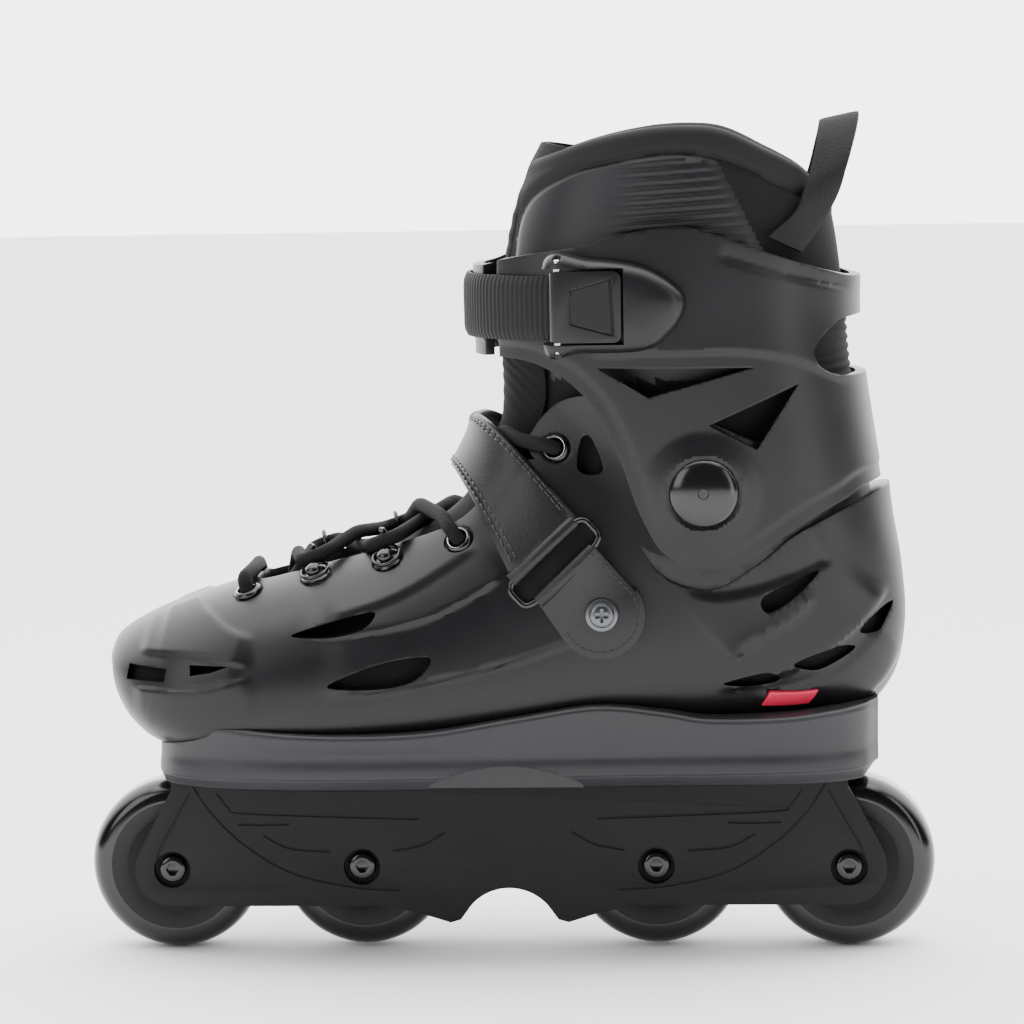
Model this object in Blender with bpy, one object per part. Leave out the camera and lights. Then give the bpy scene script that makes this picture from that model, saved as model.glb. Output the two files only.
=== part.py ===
"""A left-foot aggressive inline skate, as the pieces that it is assembled from.

The toe points along -X, the outer side of the foot faces -Y and +Z is up. The origin lies on the
ground, midway along the skate. Lengths are written in millimetres and become metres in
mesh_object(), which every mesh goes through.
"""
import math

import bmesh
import bpy
from mathutils import Matrix, Vector

MM = 0.001
GAP = 0.35
PADDING_GAP = 1.0

# Wheels and frame
WHEEL_RADIUS, WHEEL_HALF_WIDTH = 30.0, 11.6
AXLES = ((-117.3, 30.0), (-51.0, 30.8), (51.0, 30.8), (117.3, 30.0))
HUB_RADIUS, BEARING_RADIUS, BEARING_BORE = 16.8, 11.0, 4.0
BEARING_INNER_Y, BEARING_OUTER_Y = 4.9, 11.9
AXLE_RADIUS, AXLE_HEAD_RADIUS, COUNTERBORE_RADIUS = 3.6, 4.6, 6.4
FRAME_HALF_WIDTH, FRAME_INNER_Y, FRAME_TOP, DECK_UNDERSIDE = 19.0, 12.9, 62.0, 56.5
WHEEL_WELL_HALF_LENGTH, CENTRE_WEB_HALF_LENGTH = 19.5, 16.5
FRAME_BOLT_X = 84.0

# Boot
SHELL_WALL, LINER_WALL, TONGUE_THICKNESS = 3.2, 6.0, 4.8
CUFF_WALL, CUFF_CLEARANCE = 3.6, 1.2
PIVOT = (69.0, 163.0)
LINER_SPLIT_RADIUS = 56.0
LACE_RADIUS, EYELET_BORE, EYELET_RADIUS = 2.4, 3.1, 4.9
STRAP_THICKNESS, STRAP_LIFT = 3.0, 1.3

# How finely the boot's forms are divided, round and along
ROUND, SHELL_STEPS, LINER_STEPS = 24, 22, 20

# Each boot section runs from T, on the instep, to B, on the sole or heel. A row holds T's x and z,
# B's x and z, the half width, where it is widest as a share of T to B, and the roundness of its
# upper and lower half (2 is an ellipse, more is boxier).
SHELL_ROWS = (
    (-138.0, 107.0, -137.5, 98.0, 11.0, 0.50, 2.0, 2.0),
    (-135.5, 111.5, -135.0, 88.5, 21.0, 0.50, 2.0, 2.2),
    (-129.0, 116.0, -129.0, 80.5, 30.5, 0.55, 2.1, 2.5),
    (-118.5, 121.0, -120.0, 75.0, 38.5, 0.58, 2.1, 2.8),
    (-105.0, 125.5, -108.0, 72.0, 44.0, 0.60, 2.1, 3.0),
    (-86.0, 131.5, -88.0, 70.5, 47.0, 0.62, 2.1, 3.2),
    (-62.0, 138.5, -64.0, 70.0, 48.3, 0.63, 2.1, 3.2),
    (-38.0, 147.0, -38.0, 70.0, 47.5, 0.63, 2.1, 3.2),
    (-18.0, 159.0, -8.0, 71.0, 45.5, 0.62, 2.1, 3.2),
    (-7.0, 175.0, 26.0, 72.0, 43.0, 0.60, 2.1, 3.2),
    (-3.0, 189.0, 62.0, 73.0, 41.5, 0.56, 2.1, 3.0),
    (-2.8, 197.0, 95.0, 74.5, 40.0, 0.55, 2.1, 2.7),
    (-3.2, 204.0, 119.0, 80.0, 39.0, 0.55, 2.1, 2.4),
    (-3.7, 209.0, 133.0, 94.0, 38.8, 0.55, 2.1, 2.2),
    (-4.1, 213.0, 137.5, 113.0, 39.2, 0.54, 2.1, 2.1),
    (-4.3, 217.0, 136.5, 133.0, 40.0, 0.53, 2.1, 2.1),
    (-4.3, 220.5, 133.5, 152.0, 40.8, 0.52, 2.1, 2.1),
    (-4.1, 224.0, 131.5, 170.0, 41.0, 0.50, 2.1, 2.1),
)
# The wall is thicker at the back of the heel, where it forms the shelf that the cuff sits on.
HEEL_THICKENING = {13: 0.5, 14: 1.5, 15: 4.5, 16: 8.5, 17: 9.5}
LEG_ROWS = (
    (-0.6, 233.0, 120.0, 188.0, 38.0, 0.50, 2.2, 2.1),
    (0.4, 241.0, 118.2, 207.0, 39.0, 0.50, 2.2, 2.1),
    (2.0, 250.0, 116.8, 226.0, 39.3, 0.50, 2.2, 2.1),
    (4.6, 260.0, 115.0, 243.0, 38.5, 0.50, 2.2, 2.1),
    (10.0, 274.0, 112.0, 262.0, 36.5, 0.50, 2.2, 2.1),
    (17.0, 290.0, 109.0, 286.0, 34.5, 0.50, 2.2, 2.1),
)
CUFF_ROWS = (
    (-6.0, 128.0, 133.0, 128.0, 42.5, 0.50, 2.3, 2.3),
    (-8.0, 145.0, 132.0, 145.0, 44.4, 0.50, 2.3, 2.3),
    (-9.0, 160.0, 130.5, 160.0, 45.4, 0.50, 2.3, 2.3),
    (-9.5, 175.0, 128.3, 175.0, 46.2, 0.50, 2.3, 2.3),
    (-10.0, 190.0, 126.0, 190.0, 46.6, 0.50, 2.3, 2.3),
    (-10.0, 205.0, 124.0, 205.0, 46.8, 0.50, 2.3, 2.3),
    (-10.0, 220.0, 122.5, 220.0, 47.0, 0.50, 2.3, 2.3),
    (-10.0, 235.0, 122.8, 235.0, 46.8, 0.50, 2.3, 2.3),
    (-9.0, 256.0, 123.5, 256.0, 46.0, 0.50, 2.3, 2.3),
)

# Side-view outlines, as x and z
SHELL_TOP_EDGE = (
    (-14.0, 159.0), (-4.0, 167.0), (7.0, 177.0), (15.0, 188.0), (24.0, 194.0), (40.0, 195.0),
    (60.0, 191.0), (90.0, 178.0), (122.0, 170.5), (140.0, 169.5),
)
CUFF_RECESS = (
    (150.0, 166.0), (128.0, 160.0), (101.0, 148.0), (89.0, 139.0), (74.0, 130.0), (62.0, 130.5),
    (53.0, 136.0), (46.0, 147.0), (41.0, 160.0), (30.0, 180.0), (20.0, 192.0), (5.0, 199.0),
    (-30.0, 205.0), (-30.0, 300.0), (150.0, 300.0),
)
CUFF_LOWER_EDGE = (
    (-40.0, 207.0), (2.0, 208.0), (18.0, 204.0), (29.0, 196.0), (36.0, 186.0), (42.0, 172.0),
    (45.0, 163.0), (48.0, 155.0), (54.0, 144.0), (62.0, 138.5), (72.0, 137.0), (81.0, 138.5),
    (91.0, 144.0), (103.0, 152.0), (117.0, 159.0), (126.0, 163.5), (150.0, 166.0),
)
CUFF_TOP_EDGE = (
    (-40.0, 238.0), (-8.0, 238.5), (2.0, 241.0), (13.0, 243.0), (28.0, 245.5), (47.0, 250.0),
    (61.0, 251.5), (70.0, 250.0), (84.0, 245.0), (98.0, 240.0), (112.0, 235.5), (122.0, 233.0),
    (150.0, 230.0),
)
CUFF_BACK_NOTCH = (
    (150.0, 221.0), (120.0, 220.0), (112.0, 216.5), (106.5, 210.0), (108.0, 204.0), (114.0, 200.5),
    (121.0, 200.0), (150.0, 199.0),
)
COLLAR_TOP_EDGE = (
    (-20.0, 262.0), (6.0, 264.0), (18.0, 269.0), (35.0, 275.5), (51.0, 279.5), (65.0, 281.0),
    (78.0, 280.0), (91.0, 274.0), (104.0, 266.5), (114.0, 256.0), (130.0, 250.0),
)
# The lacing slot, as a section of the boot and half its width in turns
THROAT = ((4.98, 0.022), (5.12, 0.040), (5.5, 0.046), (6.0, 0.052), (7.0, 0.068), (8.0, 0.092),
          (9.0, 0.104), (10.0, 0.121), (10.6, 0.132))
SHELL_VENTS = {
    "upper_side": ((-70.0, 115.3), (-57.6, 119.9), (-44.0, 123.2), (-42.7, 121.5), (-46.8, 117.4),
                   (-57.8, 114.8)),
    "lower_side": ((-58.0, 98.7), (-45.7, 104.7), (-33.8, 107.7), (-23.6, 108.3), (-25.7, 103.2),
                   (-32.2, 99.2), (-44.1, 97.6)),
    "toe_front": ((-128.5, 104.3), (-114.3, 103.8), (-115.1, 99.3), (-129.5, 99.1)),
    "toe_side": ((-105.7, 105.5), (-92.2, 105.3), (-98.5, 103.1), (-105.7, 101.9)),
    "ankle": ((26.5, 170.3), (27.3, 178.7), (29.0, 181.4), (31.7, 180.0), (35.3, 170.2),
              (30.9, 168.2)),
    "heel_top": ((88.2, 126.2), (107.0, 134.6), (99.0, 126.0), (90.2, 121.0)),
    "heel_low": ((75.1, 97.2), (88.9, 100.5), (94.0, 98.4), (90.6, 96.4), (80.5, 96.1)),
    "heel_middle": ((98.8, 103.2), (112.6, 108.2), (119.7, 107.8), (114.3, 103.7), (105.8, 100.4)),
    "heel_back": ((121.2, 113.0), (128.0, 119.8), (132.8, 122.2), (130.7, 117.1), (127.3, 112.3)),
}
CUFF_VENTS = {
    "upper": ((34.0, 205.0), (86.0, 204.5), (51.0, 195.0)),
    "lower": ((71.0, 185.5), (101.0, 198.5), (87.0, 177.0)),
}

# Half of the frame's side outline, from the deck's end down to the middle of the grind arch
FRAME_END_OUTLINE = ((117.0, FRAME_TOP), (117.0, 58.0), (128.8, 36.0))
FRAME_CORNER_RADIUS = 13.0
FRAME_BELOW_CORNER = ((116.0, 17.0), (43.0, 17.0), (30.0, 14.0), (20.5, 11.0), (17.0, 12.0))
ARCH_CENTRE_Z, ARCH_RADIUS = 5.5, 17.6

# Soul plate sections: x, half width of sole, ridge and top edge, and the top edge's height
SOUL_ROWS = (
    (-120.5, 14.0, 17.0, 17.0, 90.0),
    (-118.0, 24.0, 30.0, 29.0, 89.0),
    (-111.0, 32.0, 39.5, 38.5, 87.6),
    (-98.0, 40.0, 46.0, 45.0, 85.5),
    (-78.0, 44.5, 50.0, 49.0, 83.2),
    (-52.0, 46.0, 51.5, 50.3, 82.2),
    (-24.0, 45.0, 50.5, 49.5, 83.2),
    (5.0, 42.5, 48.0, 47.0, 87.4),
    (32.0, 40.5, 46.0, 45.0, 91.0),
    (54.0, 39.5, 45.0, 44.0, 88.8),
    (70.0, 39.0, 44.5, 43.5, 86.2),
    (95.0, 38.0, 43.0, 42.0, 86.3),
    (112.0, 33.0, 38.0, 37.0, 87.6),
    (122.0, 25.0, 30.0, 29.5, 88.6),
    (127.5, 15.0, 19.0, 19.0, 89.2),
)
SOUL_UNDERSIDE, SOUL_RIDGE_Z = 62.4, 67.2

# Lacing: x and z of each eyelet and hook, and of the screw of the strap anchor
ANCHOR_SCREW = (34.0, 122.0)
EYELETS = {"toe": (-88.0, 127.4), "instep": (-14.0, 146.0), "ankle": (19.0, 177.0)}
HOOKS = {"front": (-64.0, 133.0), "rear": (-39.0, 138.5)}

# The ring that joins the instep strap to its anchor, on the outer side
RING_CENTRE = Vector((18.7, -43.5, 139.6))
RING_ALONG = Vector((0.73, 0.085, 0.68)).normalized()
RING_UP = Vector((-0.68, 0.10, 0.73)).normalized()
RING_HALF_LENGTH, RING_HALF_WIDTH, RING_WIRE = 17.6, 5.6, 1.2

# The front of the cuff is open between these turns, from the outer flap to the inner one
FLAP_GAP = (0.066, 0.094)

# Buckle, on the outer side of the cuff
BUCKLE_PIN = Vector((21.5, -52.9, 226.0))
PAWL_PIVOT = Vector((26.0, -52.0, 226.0))
BUCKLE_OUTLINE = (
    (17.0, 210.8), (29.0, 210.3), (50.0, 211.0), (58.5, 216.5), (63.5, 224.5), (62.0, 231.5),
    (50.0, 239.0), (33.0, 241.6), (17.0, 241.2),
)
BED_LOW, BED_HIGH, BED_REAR_X = 213.4, 238.6, 43.4
STRAP_LOW, STRAP_HIGH = 214.2, 235.6
CUFF_SECTION_AT_205 = 5.0

LATERAL, MEDIAL = -1, 1
SIDES = (("lateral", LATERAL), ("medial", MEDIAL))


def material(name, colour, roughness, metallic=0.0):
    """A plain material of this name, made once; colour is linear RGB."""
    made = bpy.data.materials.get(name)
    if made is None:
        made = bpy.data.materials.new(name)
        made.use_nodes = True
        shader = made.node_tree.nodes["Principled BSDF"]
        shader.inputs["Base Color"].default_value = (*colour, 1.0)
        shader.inputs["Roughness"].default_value = roughness
        shader.inputs["Metallic"].default_value = metallic
    return made


def shell_plastic():
    return material("shell_plastic", (0.012, 0.012, 0.013), 0.45)


def sole_plastic():
    return material("sole_plastic", (0.035, 0.035, 0.038), 0.5)


def frame_plastic():
    return material("frame_plastic", (0.022, 0.023, 0.025), 0.55)


def padding():
    return material("padding", (0.008, 0.008, 0.008), 0.9)


def webbing():
    return material("webbing", (0.009, 0.009, 0.01), 0.85)


def strap_leather():
    return material("strap_leather", (0.018, 0.018, 0.019), 0.6)


def polished_steel():
    return material("polished_steel", (0.55, 0.55, 0.56), 0.2, 1.0)


def black_steel():
    return material("black_steel", (0.03, 0.03, 0.032), 0.25, 1.0)


def urethane():
    return material("urethane", (0.01, 0.011, 0.012), 0.25)


def red_plastic():
    return material("red_plastic", (0.62, 0.04, 0.09), 0.5)


def clear_scene():
    for obj in list(bpy.data.objects):
        bpy.data.objects.remove(obj, do_unlink=True)


def mesh_object(name, points, faces, finish=None, origin=(0.0, 0.0, 0.0), axes=None):
    """An object at origin whose points are given round it, in millimetres, facing outwards."""
    shape = bmesh.new()
    verts = [shape.verts.new(Vector(p) * MM) for p in points]
    for face in faces:
        shape.faces.new([verts[i] for i in face])
    bmesh.ops.remove_doubles(shape, verts=shape.verts, dist=1e-6)
    bmesh.ops.recalc_face_normals(shape, faces=shape.faces)
    mesh = bpy.data.meshes.new(name)
    shape.to_mesh(mesh)
    shape.free()
    made = bpy.data.objects.new(name, mesh)
    bpy.context.scene.collection.objects.link(made)
    placed = axes.to_4x4() if axes is not None else Matrix.Identity(4)
    placed.translation = Vector(origin) * MM
    made.matrix_world = placed
    if finish is not None:
        mesh.materials.append(finish)
        mesh.shade_smooth()
        mesh.set_sharp_from_angle(angle=math.radians(35.0))
    else:
        made.hide_render = True
        made.display_type = "WIRE"
    return made


def boolean(target, other, operation):
    step = target.modifiers.new(f"{operation.lower()}_{other.name}", "BOOLEAN")
    step.operation = operation
    step.solver = "EXACT"
    step.object = other
    return target


def cut(target, *cutters):
    for cutter in cutters:
        boolean(target, cutter, "DIFFERENCE")
    return target


def join(target, *others):
    for other in others:
        boolean(target, other, "UNION")
    return target


def prism(name, outline, y_low, y_high, finish=None):
    """A side-view outline pulled across the skate from y_low to y_high."""
    count = len(outline)
    points = [(x, y, z) for y in (y_low, y_high) for x, z in outline]
    faces = [list(range(count)), [i + count for i in reversed(range(count))]]
    faces += [(i, (i + 1) % count, (i + 1) % count + count, i + count) for i in range(count)]
    return mesh_object(name, points, faces, finish)


def block(name, low, high, finish=None):
    outline = [(low[0], low[2]), (high[0], low[2]), (high[0], high[2]), (low[0], high[2])]
    return prism(name, outline, low[1], high[1], finish)


def turned(name, profile, centre, finish=None, segments=24, axes=None):
    """A profile of (radius, height) points turned about local Z, standing at centre.

    A profile that starts and ends on the axis is solid; any other is closed into a ring.
    """
    solid = profile[0][0] == 0.0 and profile[-1][0] == 0.0
    points, rows = [], []
    for radius, height in profile:
        if radius == 0.0:
            rows.append([len(points)] * segments)
            points.append((0.0, 0.0, height))
            continue
        rows.append(list(range(len(points), len(points) + segments)))
        for i in range(segments):
            angle = 2.0 * math.pi * i / segments
            points.append((radius * math.cos(angle), radius * math.sin(angle), height))
    pairs = list(zip(rows, rows[1:])) + ([] if solid else [(rows[-1], rows[0])])
    faces = []
    for lower, upper in pairs:
        for i in range(segments):
            corners = (lower[i], lower[(i + 1) % segments], upper[(i + 1) % segments], upper[i])
            faces.append(list(dict.fromkeys(corners)))
    return mesh_object(name, points, faces, finish, centre, axes)


def bore(name, radius, length, centre, axes=None, segments=16):
    """A plain cylinder centred there, for a hole or a boss."""
    half = length / 2
    profile = ((0.0, -half), (radius, -half), (radius, half), (0.0, half))
    return turned(name, profile, centre, None, segments, axes)


def across(sign=1):
    """Axes whose Z looks along Y (sign 1) or -Y (sign -1), for pieces turned across the skate."""
    return Matrix.Rotation(-sign * math.pi / 2, 3, "X")


def looking(direction, along=Vector((1.0, 0.0, 0.0))):
    """Axes whose Z looks along direction and whose X is as near as it can be to along."""
    z = Vector(direction).normalized()
    x = (along - along.dot(z) * z).normalized()
    return Matrix((x, z.cross(x), z)).transposed()


def frames_along(route):
    """At each point of route, two unit vectors square to it that never twist."""
    side = None
    frames = []
    for i, place in enumerate(route):
        ahead = (Vector(route[min(i + 1, len(route) - 1)]) - Vector(route[max(i - 1, 0)])).normalized()
        if side is None:
            side = ahead.orthogonal()
        side = (side - ahead * side.dot(ahead)).normalized()
        frames.append((Vector(place), side, ahead.cross(side)))
    return frames


def rod(name, route, radius, finish=None, sides=8):
    """A round bar along the points of route, as a mesh."""
    angles = [2.0 * math.pi * k / sides for k in range(sides)]
    rings = [[place + (a * math.cos(t) + b * math.sin(t)) * radius for t in angles]
             for place, a, b in frames_along(route)]
    return closed_loft(name, rings, finish)


def cord(name, route, radius, finish, detail=2):
    """A round cord along the points of route."""
    curve = bpy.data.curves.new(name, "CURVE")
    curve.dimensions = "3D"
    curve.bevel_depth = radius * MM
    curve.bevel_resolution = detail
    curve.use_fill_caps = True
    curve.materials.append(finish)
    line = curve.splines.new("POLY")
    line.points.add(len(route) - 1)
    for point, place in zip(line.points, route):
        point.co = (*(Vector(place) * MM), 1.0)
    made = bpy.data.objects.new(name, curve)
    bpy.context.scene.collection.objects.link(made)
    return made


def spline_value(values, at):
    """The Catmull-Rom curve through values, which are one step apart, at this step."""
    last = len(values) - 1
    i = min(max(int(at), 0), last - 1)
    f = at - i
    p1, p2 = values[i], values[i + 1]
    p0 = values[i - 1] if i > 0 else 2 * p1 - p2
    p3 = values[i + 2] if i + 2 <= last else 2 * p2 - p1
    return 0.5 * (2 * p1 + (p2 - p0) * f + (2 * p0 - 5 * p1 + 4 * p2 - p3) * f * f
                  + (3 * p1 - p0 - 3 * p2 + p3) * f * f * f)


def smooth_route(knots, steps):
    """Points of the Catmull-Rom curve through the knots, steps of them to each span."""
    axes = list(zip(*knots))
    count = (len(knots) - 1) * steps
    return [Vector([spline_value(axis, i / steps) for axis in axes]) for i in range(count + 1)]


def rounded_route(knots, reach):
    """The straight runs between knots, with each corner rounded off within this reach."""
    route = [knots[0]]
    for before, knot, after in zip(knots, knots[1:], knots[2:]):
        back, ahead = before - knot, after - knot
        near = min(reach, 0.45 * back.length, 0.45 * ahead.length)
        start, stop = knot + back.normalized() * near, knot + ahead.normalized() * near
        bend = math.pi - back.angle(ahead)
        count = 1 if bend < 0.3 else 2 if bend < 0.8 else 3
        for i in range(count):
            t = (i + 0.5) / count if count < 3 else i / 2
            route.append(start * (1 - t) ** 2 + knot * 2 * t * (1 - t) + stop * t * t)
    return route + [knots[-1]]


class Loft:
    """A closed form through section rows. A point on it is a section number and a turn, the share
    of the way round from T (0) by the outer side (0.25) and B (0.5) to the inner side (0.75)."""

    def __init__(self, rows):
        self.columns = list(zip(*rows))
        self.last = len(rows) - 1

    def point(self, section, turn, off=0.0, off_b=0.0):
        """The point there, moved out by off, and by off_b more at B."""
        tx, tz, bx, bz, half, widest, n_top, n_low = (
            spline_value(column, section) for column in self.columns)
        top, bottom = Vector((tx, 0.0, tz)), Vector((bx, 0.0, bz))
        length = (bottom - top).length
        along = (bottom - top) / length
        angle = 2.0 * math.pi * turn
        power = 2.0 / (n_top if math.cos(angle) >= 0.0 else n_low)
        share = abs(math.cos(angle)) ** power
        if math.cos(angle) >= 0.0:
            reach = widest * length - share * (widest * length + off)
        else:
            reach = widest * length + share * ((1.0 - widest) * length + off + off_b)
        side = abs(math.sin(angle)) ** power * (half + off)
        return top + along * reach + Vector((0.0, math.copysign(side, -math.sin(angle)), 0.0))

    def normal(self, section, turn):
        step = 0.02
        along = self.point(section + step, turn) - self.point(section - step, turn)
        around = self.point(section, turn + step / 4) - self.point(section, turn - step / 4)
        return around.cross(along).normalized()

    def locate(self, x, z, sign):
        """The section and turn of the outer (sign -1) or inner (sign 1) side seen at x and z."""
        def miss(section, turn):
            place = self.point(section, turn)
            return (place.x - x) ** 2 + (place.z - z) ** 2
        turns = [0.01 + 0.48 * i / 40 for i in range(41)]
        starts = [(s / 2, t) for s in range(2 * self.last + 1) for t in turns]
        best = min(starts, key=lambda start: miss(*start))
        step_s, step_t = 0.25, 0.006
        for _ in range(16):
            near = [(best[0] + i * step_s, best[1] + j * step_t) for i in (-1, 0, 1) for j in (-1, 0, 1)]
            near = [(min(max(s, 0.0), self.last), min(max(t, 0.002), 0.498)) for s, t in near]
            best = min(near, key=lambda start: miss(*start))
            step_s, step_t = step_s * 0.7, step_t * 0.7
        return best[0], best[1] if sign == LATERAL else 1.0 - best[1]

    def on_side(self, x, z, sign):
        """The point and outward normal of the side seen at x and z."""
        section, turn = self.locate(x, z, sign)
        return self.point(section, turn), self.normal(section, turn)


def even_steps(start, stop, count):
    return [start + (stop - start) * i / (count - 1) for i in range(count)]


def closed_loft(name, rings, finish=None):
    """Rings of equal count skinned into a closed solid, with a fan over each end."""
    count = len(rings[0])
    points = [p for ring in rings for p in ring]
    faces = []
    for r in range(len(rings) - 1):
        for i in range(count):
            j = (i + 1) % count
            faces.append((r * count + i, r * count + j, (r + 1) * count + j, (r + 1) * count + i))
    for first, ring in ((0, rings[0]), ((len(rings) - 1) * count, rings[-1])):
        middle = len(points)
        points.append(sum(ring, Vector()) / count)
        faces += [(first + i, first + (i + 1) % count, middle) for i in range(count)]
    return mesh_object(name, points, faces, finish)


def patch(name, places, finish=None):
    """A thick sheet. places(i, j) gives its outer and inner point on a grid, as (outer, inner);
    places also carries the grid's size as places.rows and places.columns."""
    rows, columns = places.rows, places.columns
    points = [places(i, j)[layer] for layer in (0, 1) for i in range(rows) for j in range(columns)]
    size = rows * columns

    def at(layer, i, j):
        return layer * size + i * columns + j
    faces = []
    for i in range(rows - 1):
        for j in range(columns - 1):
            faces.append((at(0, i, j), at(0, i, j + 1), at(0, i + 1, j + 1), at(0, i + 1, j)))
            faces.append((at(1, i, j), at(1, i + 1, j), at(1, i + 1, j + 1), at(1, i, j + 1)))
    rim = [(0, j) for j in range(columns)] + [(i, columns - 1) for i in range(1, rows)]
    rim += [(rows - 1, j) for j in range(columns - 2, -1, -1)] + [(i, 0) for i in range(rows - 2, 0, -1)]
    for (i, j), (k, m) in zip(rim, rim[1:] + rim[:1]):
        faces.append((at(0, i, j), at(1, i, j), at(1, k, m), at(0, k, m)))
    return mesh_object(name, points, faces, finish)


def grid(rows, columns):
    """Marks a function of (i, j) as a grid of this size, for patch()."""
    def mark(function):
        function.rows, function.columns = rows, columns
        return function
    return mark


def room_rows(drop, gap):
    """The rows of the space inside the shell and up the leg, this gap from the wall, with the
    instep lowered by drop."""
    rows = []
    for number, row in enumerate(SHELL_ROWS):
        tx, tz, bx, bz, half, widest, n_top, n_low = row
        top, bottom = Vector((tx, 0.0, tz)), Vector((bx, 0.0, bz))
        along = (bottom - top).normalized()
        top = top + along * (SHELL_WALL + gap + drop * min(max((number - 2) / 2.5, 0.0), 1.0))
        bottom = bottom - along * (SHELL_WALL + gap + HEEL_THICKENING.get(number, 0.0))
        rows.append((top.x, top.z, bottom.x, bottom.z, half - SHELL_WALL - gap, widest, n_top, n_low))
    return rows + [(row[0] + gap + drop, *row[1:]) for row in LEG_ROWS]


SHELL = Loft(SHELL_ROWS)
CUFF = Loft(CUFF_ROWS)
ROOM = Loft(room_rows(0.0, PADDING_GAP))
LINER = Loft(room_rows(TONGUE_THICKNESS + PADDING_GAP, PADDING_GAP))


def shell_ring(section, count, off=0.0):
    thick = spline_value([HEEL_THICKENING.get(i, 0.0) for i in range(SHELL.last + 1)], section)
    return [SHELL.point(section, i / count, off, -thick if off < 0.0 else 0.0) for i in range(count)]


def boot_shell():
    """The hard lower boot: hollow, open from the vamp up over the ankle."""
    sections = even_steps(0.0, SHELL.last, SHELL_STEPS)
    shell = closed_loft("boot_shell", [shell_ring(s, ROUND) for s in sections], shell_plastic())
    hollow_rings = [shell_ring(s, ROUND, -SHELL_WALL) for s in even_steps(0.9, SHELL.last, SHELL_STEPS)]
    hollow_rings.append([p + Vector((2.0, 0.0, 6.0)) for p in hollow_rings[-1]])
    hollow = closed_loft("shell_hollow", hollow_rings)
    @grid(len(THROAT), 7)
    def throat_places(i, j):
        section, half_turn = THROAT[i]
        turn = half_turn * (j / 3 - 1.0) % 1.0
        point, normal = SHELL.point(section, turn), SHELL.normal(section, turn)
        return point + normal * 12.0, point - normal * 8.0
    throat = patch("throat_cutter", throat_places)
    top = prism("shell_top_cutter", list(SHELL_TOP_EDGE) + [(140.0, 300.0), (-16.0, 300.0)], -70.0, 70.0)
    recess = prism("cuff_recess_cutter", CUFF_RECESS, -75.0, 75.0)
    core_off = -CUFF_WALL - CUFF_CLEARANCE
    core = closed_loft("cuff_core", [
        [CUFF.point(s, i / ROUND, core_off) for i in range(ROUND)] for s in even_steps(0.0, CUFF.last, 9)])
    cut(shell, hollow, throat, top, cut(recess, core))
    for vent, outline in SHELL_VENTS.items():
        cut(shell, prism(f"vent_cutter_{vent}", outline, -70.0, 70.0))
    cut(shell, block("vent_cutter_toe_tip", (-150.0, -7.0, 99.2), (-125.0, 7.0, 104.2)))
    for label, x in (("front", -FRAME_BOLT_X), ("rear", FRAME_BOLT_X)):
        cut(shell, bore(f"shell_bolt_hole_{label}", 4.4, 12.0, (x, 0.0, 72.0)))
    return cut(shell, bore("shell_pivot_hole", 6.6, 160.0, (PIVOT[0], 0.0, PIVOT[1]), across()))


def inner_boot(name, kept_out, groove=None):
    """One part of the padded liner: the whole of it less the region that belongs to the other."""
    body = closed_loft(name, [[LINER.point(s, i / ROUND) for i in range(ROUND)]
                              for s in even_steps(1.2, LINER.last, LINER_STEPS)], padding())
    inner = [[LINER.point(s, i / ROUND, -LINER_WALL) for i in range(ROUND)]
             for s in even_steps(2.0, LINER.last, LINER_STEPS)]
    inner.append([p + Vector((0.0, 0.0, 6.0)) for p in inner[-1]])
    room = closed_loft(f"{name}_room", inner)
    top = list(COLLAR_TOP_EDGE) + [(130.0, 320.0), (-20.0, 320.0)]
    cut(body, room, prism(f"{name}_top_cutter", top, -60.0, 60.0), kept_out)
    return cut(body, groove) if groove is not None else body


def split_arc(radius, front):
    """Side-view points round the cuff pivot from the front angle, where the upper liner turns."""
    angles = even_steps(math.radians(front), math.radians(27.0), 18)
    return [(PIVOT[0] + radius * math.cos(a), PIVOT[1] + radius * math.sin(a)) for a in angles]


def liner_foot(groove):
    """The liner below the ankle's fold, cut low in front so that the upper part can lean over it."""
    top = [(160.0, 188.0), (160.0, 330.0), (-60.0, 330.0)]
    above = [(-60.0, 160.5)] + split_arc(LINER_SPLIT_RADIUS, 175.0) + top
    return inner_boot("liner_foot", prism("liner_upper_region", above, -70.0, 70.0), groove)


def liner_collar():
    """The liner above the ankle's fold, which leans with the cuff."""
    below = [(-60.0, 180.0)] + split_arc(LINER_SPLIT_RADIUS + 2 * GAP, 165.0)
    below += [(160.0, 189.0), (160.0, 40.0), (-160.0, 40.0), (-160.0, 180.0)]
    return inner_boot("liner_collar", prism("liner_lower_region", below, -70.0, 70.0))


def tongue(groove):
    """The padded tongue, between the liner and the shell, up out of the cuff."""
    rows, columns = 22, 7

    @grid(rows, columns)
    def places(i, j):
        section = 5.1 + 17.4 * i / (rows - 1)
        spread = 0.092 + 0.012 * math.sin(math.pi * i / (rows - 1))
        turn = spread * (2.0 * j / (columns - 1) - 1.0) % 1.0
        return ROOM.point(section, turn), LINER.point(section, turn, PADDING_GAP + 0.4)
    made = patch("tongue", places, padding())
    top = [(-30.0, 279.0), (60.0, 281.0), (60.0, 330.0), (-30.0, 330.0)]
    return cut(made, groove, prism("tongue_top_cutter", top, -60.0, 60.0))


def eyelet_place(place, sign):
    """Where an eyelet sits on the shell: its point and outward normal."""
    return SHELL.on_side(*EYELETS[place], sign)


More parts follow.
